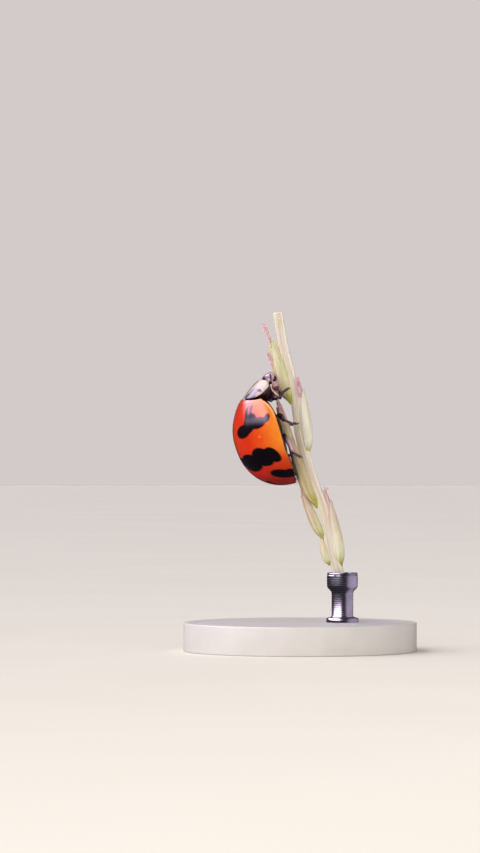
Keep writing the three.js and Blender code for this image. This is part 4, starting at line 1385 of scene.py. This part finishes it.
class LADYBIRD_OT_spikelets(bpy.types.Operator):
    """Models the spikelets: a seed body in two overlapping nerved husks"""

    bl_idname = "ladybird.spikelets"
    bl_label = "Spikelets"

    def execute(self, context):
        grass = context.scene.ladybird_grass
        finish = husk_finish(grass)
        for key, (foot, tip, width, depth, bow, y, pale, blush) in SPIKELETS.items():
            left = key.startswith("left")
            lie = self.lies(foot, tip, width, depth, bow, y, 1 if left else -1)
            # The lower husk hugs the outer side, the upper one the side towards the stem.
            outer, inner = (-0.15 * math.pi, -0.72 * math.pi) if left else (1.15 * math.pi, -0.3 * math.pi)
            parts = [
                self.seed(lie, pale, blush),
                self.husk(lie, outer, 1.5, 0.86, 0.035, pale, 0.4 * blush),
                self.husk(lie, inner, 1.25, 0.97, 0.018, min(1.0, pale + 0.12), 0.8 * blush),
            ]
            for husk in parts[1:]:
                thicken(husk, grass.husk_wall)
            spikelet = joined(f"perch_spikelet_{key}_husks", parts)
            hand_over(spikelet, IN_FRAME, finish, [f"perch_spikelet_{key}"], 50)
        return {"FINISHED"}

    def lies(self, foot, tip, width, depth, bow, y, lean):
        """A function of (t, turn, out): t runs from foot to tip and turn round the spikelet."""
        start = Vector((foot[0], y, foot[1]))
        end = Vector((tip[0], y, tip[1]))
        along = (end - start).normalized()
        left = Vector((-along.z, 0, along.x))

        def place(t, turn, out):
            t = min(1.0, max(0.0, t))
            full = 0.25 + 0.75 * math.sin(math.pi * t ** 0.7)
            full *= lerp(1.0, 0.3, max(0.0, t - 0.9) / 0.1) * lerp(0.34, 1.0, ease(0.0, 0.15, t))
            middle = start.lerp(end, t) + left * bow * math.sin(math.pi * t)
            middle -= left * lean * 0.24 * width * ease(0.28, 0.0, t)
            middle += left * (width / 2 * full + out) * math.cos(turn)
            return middle + Vector((0, (depth / 2 * full + out) * math.sin(turn), 0))

        return place

    def seed(self, lie, pale, blush):
        """The closed body within the husks."""
        rings = 30
        body = drawn("seed", [(i / rings, 1.0, 1.0) for i in range(rings + 1)], 28)
        note(
            body, tint=pale, foot=lambda point: ease(0.24, 0.04, point.z),
            blush=lambda point: blush * ease(0.3, 0.95, point.z), rim=0.0, along=lambda point: 4.0 * point.z,
            round=lambda point: 0.3 * math.atan2(abs(point.y), point.x),
        )

        def form(point):
            turn = math.atan2(point.y, point.x)
            if math.hypot(point.x, point.y) < 0.01:
                return lie(point.z, 0.0, 0.0)
            return lie(point.z, turn, -0.03 + 0.01 * math.cos(9 * turn))

        mould(body, form)
        return body

    def husk(self, lie, facing, reach, top, out, pale, blush):
        """A boat-shaped scale: a sheet wrapped round the seed body, pointed, with nerves and a thin rim."""
        scale = sheet("scale", 30, 44)
        note(
            scale, tint=pale, foot=lambda point: ease(0.26, 0.05, point.y),
            blush=lambda point: blush * ease(0.2, 0.9, point.y),
            rim=lambda point: ease(0.8, 0.97, abs(2 * point.x - 1)) * 0.85,
            along=lambda point: 4.0 * point.y, round=lambda point: 0.5 * point.x,
        )

        def form(point):
            u, v = 2 * point.x - 1, point.y
            wide = reach * (1 - v ** 5) ** 0.6 * (0.75 + 0.25 * ease(0.0, 0.15, v))
            nerve = 0.014 * sum(bump(u, at, 0.06) for at in NERVES) * (1 - v ** 4)
            return lie(v * top, facing + u * wide, out + nerve + 0.02 * abs(u) ** 4 * v)

        mould(scale, form)
        closed(scale)
        return scale


class LADYBIRD_OT_plumes(bpy.types.Operator):
    """Models the pink feathery stigmas: an axis set all round with barbs"""

    bl_idname = "ladybird.plumes"
    bl_label = "Plumes"

    def execute(self, context):
        grass = context.scene.ladybird_grass
        finish = plume_finish(grass)
        for number, (root, tip, wide, barbs) in enumerate(PLUMES, 1):
            start, end = Vector(root), Vector(tip)
            route = (start, start.lerp(end, 0.5) + Vector((0.03, -0.04, 0.0)), end)
            stalk = drawn("plume_axis", ((0.0, 0.03, 0.03), (0.6, 0.022, 0.022), (1.0, 0.008, 0.008)), 8)
            unwrapped(stalk, lambda point: (0.9 + 0.05 * point.x, point.z))
            follow(stalk, route)
            rng = random.Random(number + 4)
            along, side, front = axes(start, end)
            places, patches = [], []
            for j in range(barbs):
                t = (j + rng.random()) / barbs
                turn = rng.uniform(0, math.tau)
                out = side * math.cos(turn) + front * math.sin(turn)
                reach = wide * (0.3 + 0.7 * math.sin(math.pi * min(1.0, 0.2 + 0.75 * t))) * rng.uniform(0.55, 0.85)
                way = (out + along * rng.uniform(0.9, 2.2)).normalized()
                places.append(aimed(Vector(through(route, t)), way, grass.barb_width / 2, reach))
                patches.append((0.8 * turn / math.tau, 0.97 * t))
            plume = joined(f"perch_plume_{number}", [
                stalk, strewn("plume_barbs", bristle("barb", 5, 1.0), places, patches),
            ])
            hand_over(plume, IN_FRAME, finish, (), 70)
        return {"FINISHED"}


class LADYBIRD_OT_display_stand(bpy.types.Operator):
    """Models the display stand: a bevelled acrylic disc and a turned steel rod with its cup"""

    bl_idname = "ladybird.display_stand"
    bl_label = "Display stand"

    def execute(self, context):
        stand = context.scene.ladybird_stand
        clear()
        bpy.ops.mesh.primitive_cylinder_add(
            vertices=192, radius=stand.disc_radius, depth=DISC_THICKNESS, location=(0, 0, DISC_THICKNESS / 2),
        )
        disc = named("stand_base_disc")
        bpy.ops.object.transform_apply(location=True, rotation=False, scale=False)
        edit(disc)
        pick_faces(disc, lambda face: face.normal.z > 0.9)
        # A turned groove near the edge.
        for width, depth in ((0.75, 0), (0.05, -0.05), (0.05, 0.05)):
            bpy.ops.mesh.inset(thickness=width, depth=depth)
        clear()
        apply_modifier(
            disc, "BEVEL", width=stand.edge_bevel, segments=5, limit_method="ANGLE", angle_limit=math.radians(60),
        )
        hand_over(disc, IN_FRAME, disc_finish(stand), ["stand_base"], 35)
        rod = drawn("stand_rod_turned", [(z, r, r) for z, r in ROD_PROFILE], 96)
        mould(rod, lambda point: point + Vector((ROD_X, 0, 0)))
        hand_over(rod, IN_FRAME, rod_finish(stand), ["stand_rod"], 35)
        return {"FINISHED"}


class LADYBIRD_OT_stage(bpy.types.Operator):
    """Lays the pale floor and sets the lights, the room light and the camera"""

    bl_idname = "ladybird.stage"
    bl_label = "Stage"

    def execute(self, context):
        stage = context.scene.ladybird_stage
        scene = context.scene
        clear()
        bpy.ops.mesh.primitive_circle_add(vertices=128, radius=stage.floor_radius, fill_type="NGON")
        floor = named("studio_floor")
        floor.data.materials.append(floor_finish(stage))
        # The floor and the stand would veil the black marks with grey, so nothing mirrors them.
        for name in ("studio_floor", "stand_base_disc", "stand_rod_turned"):
            bpy.data.objects[name].visible_glossy = False
        for name, lamp in LAMPS.items():
            self.lamp(name, getattr(stage, name + "_power"), *lamp)
        scene.world = self.room(stage)
        scene.view_settings.view_transform = "Standard"
        bpy.ops.object.camera_add(location=CAMERA_PLACE, rotation=(math.pi / 2, 0, 0))
        camera = context.object
        camera.name = "front_camera"
        camera.data.lens = CAMERA_LENS
        camera.data.sensor_width = CAMERA_SENSOR
        camera.data.clip_start = 0.01
        camera.data.clip_end = 5
        scene.camera = camera
        return {"FINISHED"}

    def room(self, stage):
        """The light all round, and what shiny surfaces mirror of it."""
        world = bpy.data.worlds.new("pale_room")
        world.use_nodes = True
        tree = world.node_tree
        tree.nodes.clear()
        soft = {"interpolation_type": "SMOOTHSTEP"}
        # The light comes from a broad pale window on the left, from the room's horizon upwards.
        way = add(tree, "SeparateXYZ", {0: add(tree, "TexCoord").outputs["Generated"]}).outputs
        tilted = math_of(tree, "MULTIPLY_ADD", math_of(tree, "MAXIMUM", way["Y"], 0.0), WINDOW_TILT, way["Z"])
        high = scaled(tree, tilted, *WINDOW_HEIGHT, **soft)
        window = math_of(tree, "MULTIPLY", high, scaled(tree, way["X"], *WINDOW_ACROSS, **soft))
        rays = add(tree, "LightPath").outputs
        gloss = rays["Is Glossy Ray"]
        # What shiny surfaces mirror is a bright window, a pale board on the right, and dark elsewhere.
        bright = scaled(tree, gloss, 0.0, 1.0, stage.window_strength, stage.mirrored_window)
        board = scaled(tree, way["X"], *BOARD_ACROSS, DARK, stage.board_strength, **soft)
        dim = scaled(tree, gloss, 0.0, 1.0, stage.world_strength, board)
        colour = blend(tree, gloss, linear("#F4F0FA"), linear("#DAC6E6"))
        power = math_of(tree, "MULTIPLY_ADD", window, bright, dim)
        room = add(tree, "Background", {"Color": colour, "Strength": power})
        wall = add(tree, "Background", {"Color": stage.wall_colour, "Strength": 1.0})
        both = add(tree, "MixShader", {0: rays["Is Camera Ray"], 1: room.outputs[0], 2: wall.outputs[0]})
        add(tree, "OutputWorld", {"Surface": both.outputs[0]})
        return world

    def lamp(self, name, power, place, aim, size, colour, mirrored):
        """A square soft light, turned to what it lights, which shiny surfaces mirror or not."""
        bpy.ops.object.light_add(type="AREA", location=place)
        lamp = bpy.context.object
        lamp.name = name
        lamp.data.shape = "SQUARE"
        lamp.data.size = size
        lamp.data.energy = power
        lamp.data.color = linear(colour)[:3]
        lamp.rotation_euler = (Vector(aim) - Vector(place)).to_track_quat("-Z", "Y").to_euler()
        lamp.visible_camera = False
        lamp.visible_glossy = mirrored


STEPS = (
    LADYBIRD_OT_wing_cases, LADYBIRD_OT_scutellum, LADYBIRD_OT_pronotum, LADYBIRD_OT_head, LADYBIRD_OT_eyes,
    LADYBIRD_OT_feelers, LADYBIRD_OT_mouthparts, LADYBIRD_OT_underside, LADYBIRD_OT_legs, LADYBIRD_OT_stem,
    LADYBIRD_OT_spikelets, LADYBIRD_OT_plumes, LADYBIRD_OT_display_stand, LADYBIRD_OT_stage,
)


class LADYBIRD_PT_sidebar(bpy.types.Panel):
    """Lists the steps that build the ladybird"""

    bl_label = "Ladybird"
    bl_idname = "LADYBIRD_PT_sidebar"
    bl_space_type = "VIEW_3D"
    bl_region_type = "UI"
    bl_category = "Ladybird"

    def draw(self, context):
        for step in STEPS:
            self.layout.operator(step.bl_idname)
        for group in SETTINGS:
            settings = getattr(context.scene, group)
            for name in settings.bl_rna.properties.keys():
                if name not in ("rna_type", "name"):
                    self.layout.prop(settings, name)


SETTINGS = {
    "ladybird": LadybirdSettings, "ladybird_grass": GrassSettings, "ladybird_stand": StandSettings,
    "ladybird_stage": StageSettings,
}
CLASSES = (*SETTINGS.values(), *STEPS, LADYBIRD_PT_sidebar)


def register():
    for item in CLASSES:
        bpy.utils.register_class(item)
    for name, group in SETTINGS.items():
        setattr(bpy.types.Scene, name, bpy.props.PointerProperty(type=group))


def unregister():
    for name in SETTINGS:
        delattr(bpy.types.Scene, name)
    for item in reversed(CLASSES):
        bpy.utils.unregister_class(item)


def main():
    register()
    for step in STEPS:
        group, name = step.bl_idname.split(".")
        getattr(getattr(bpy.ops, group), name)()
    clear()


if __name__ == "__main__":
    main()
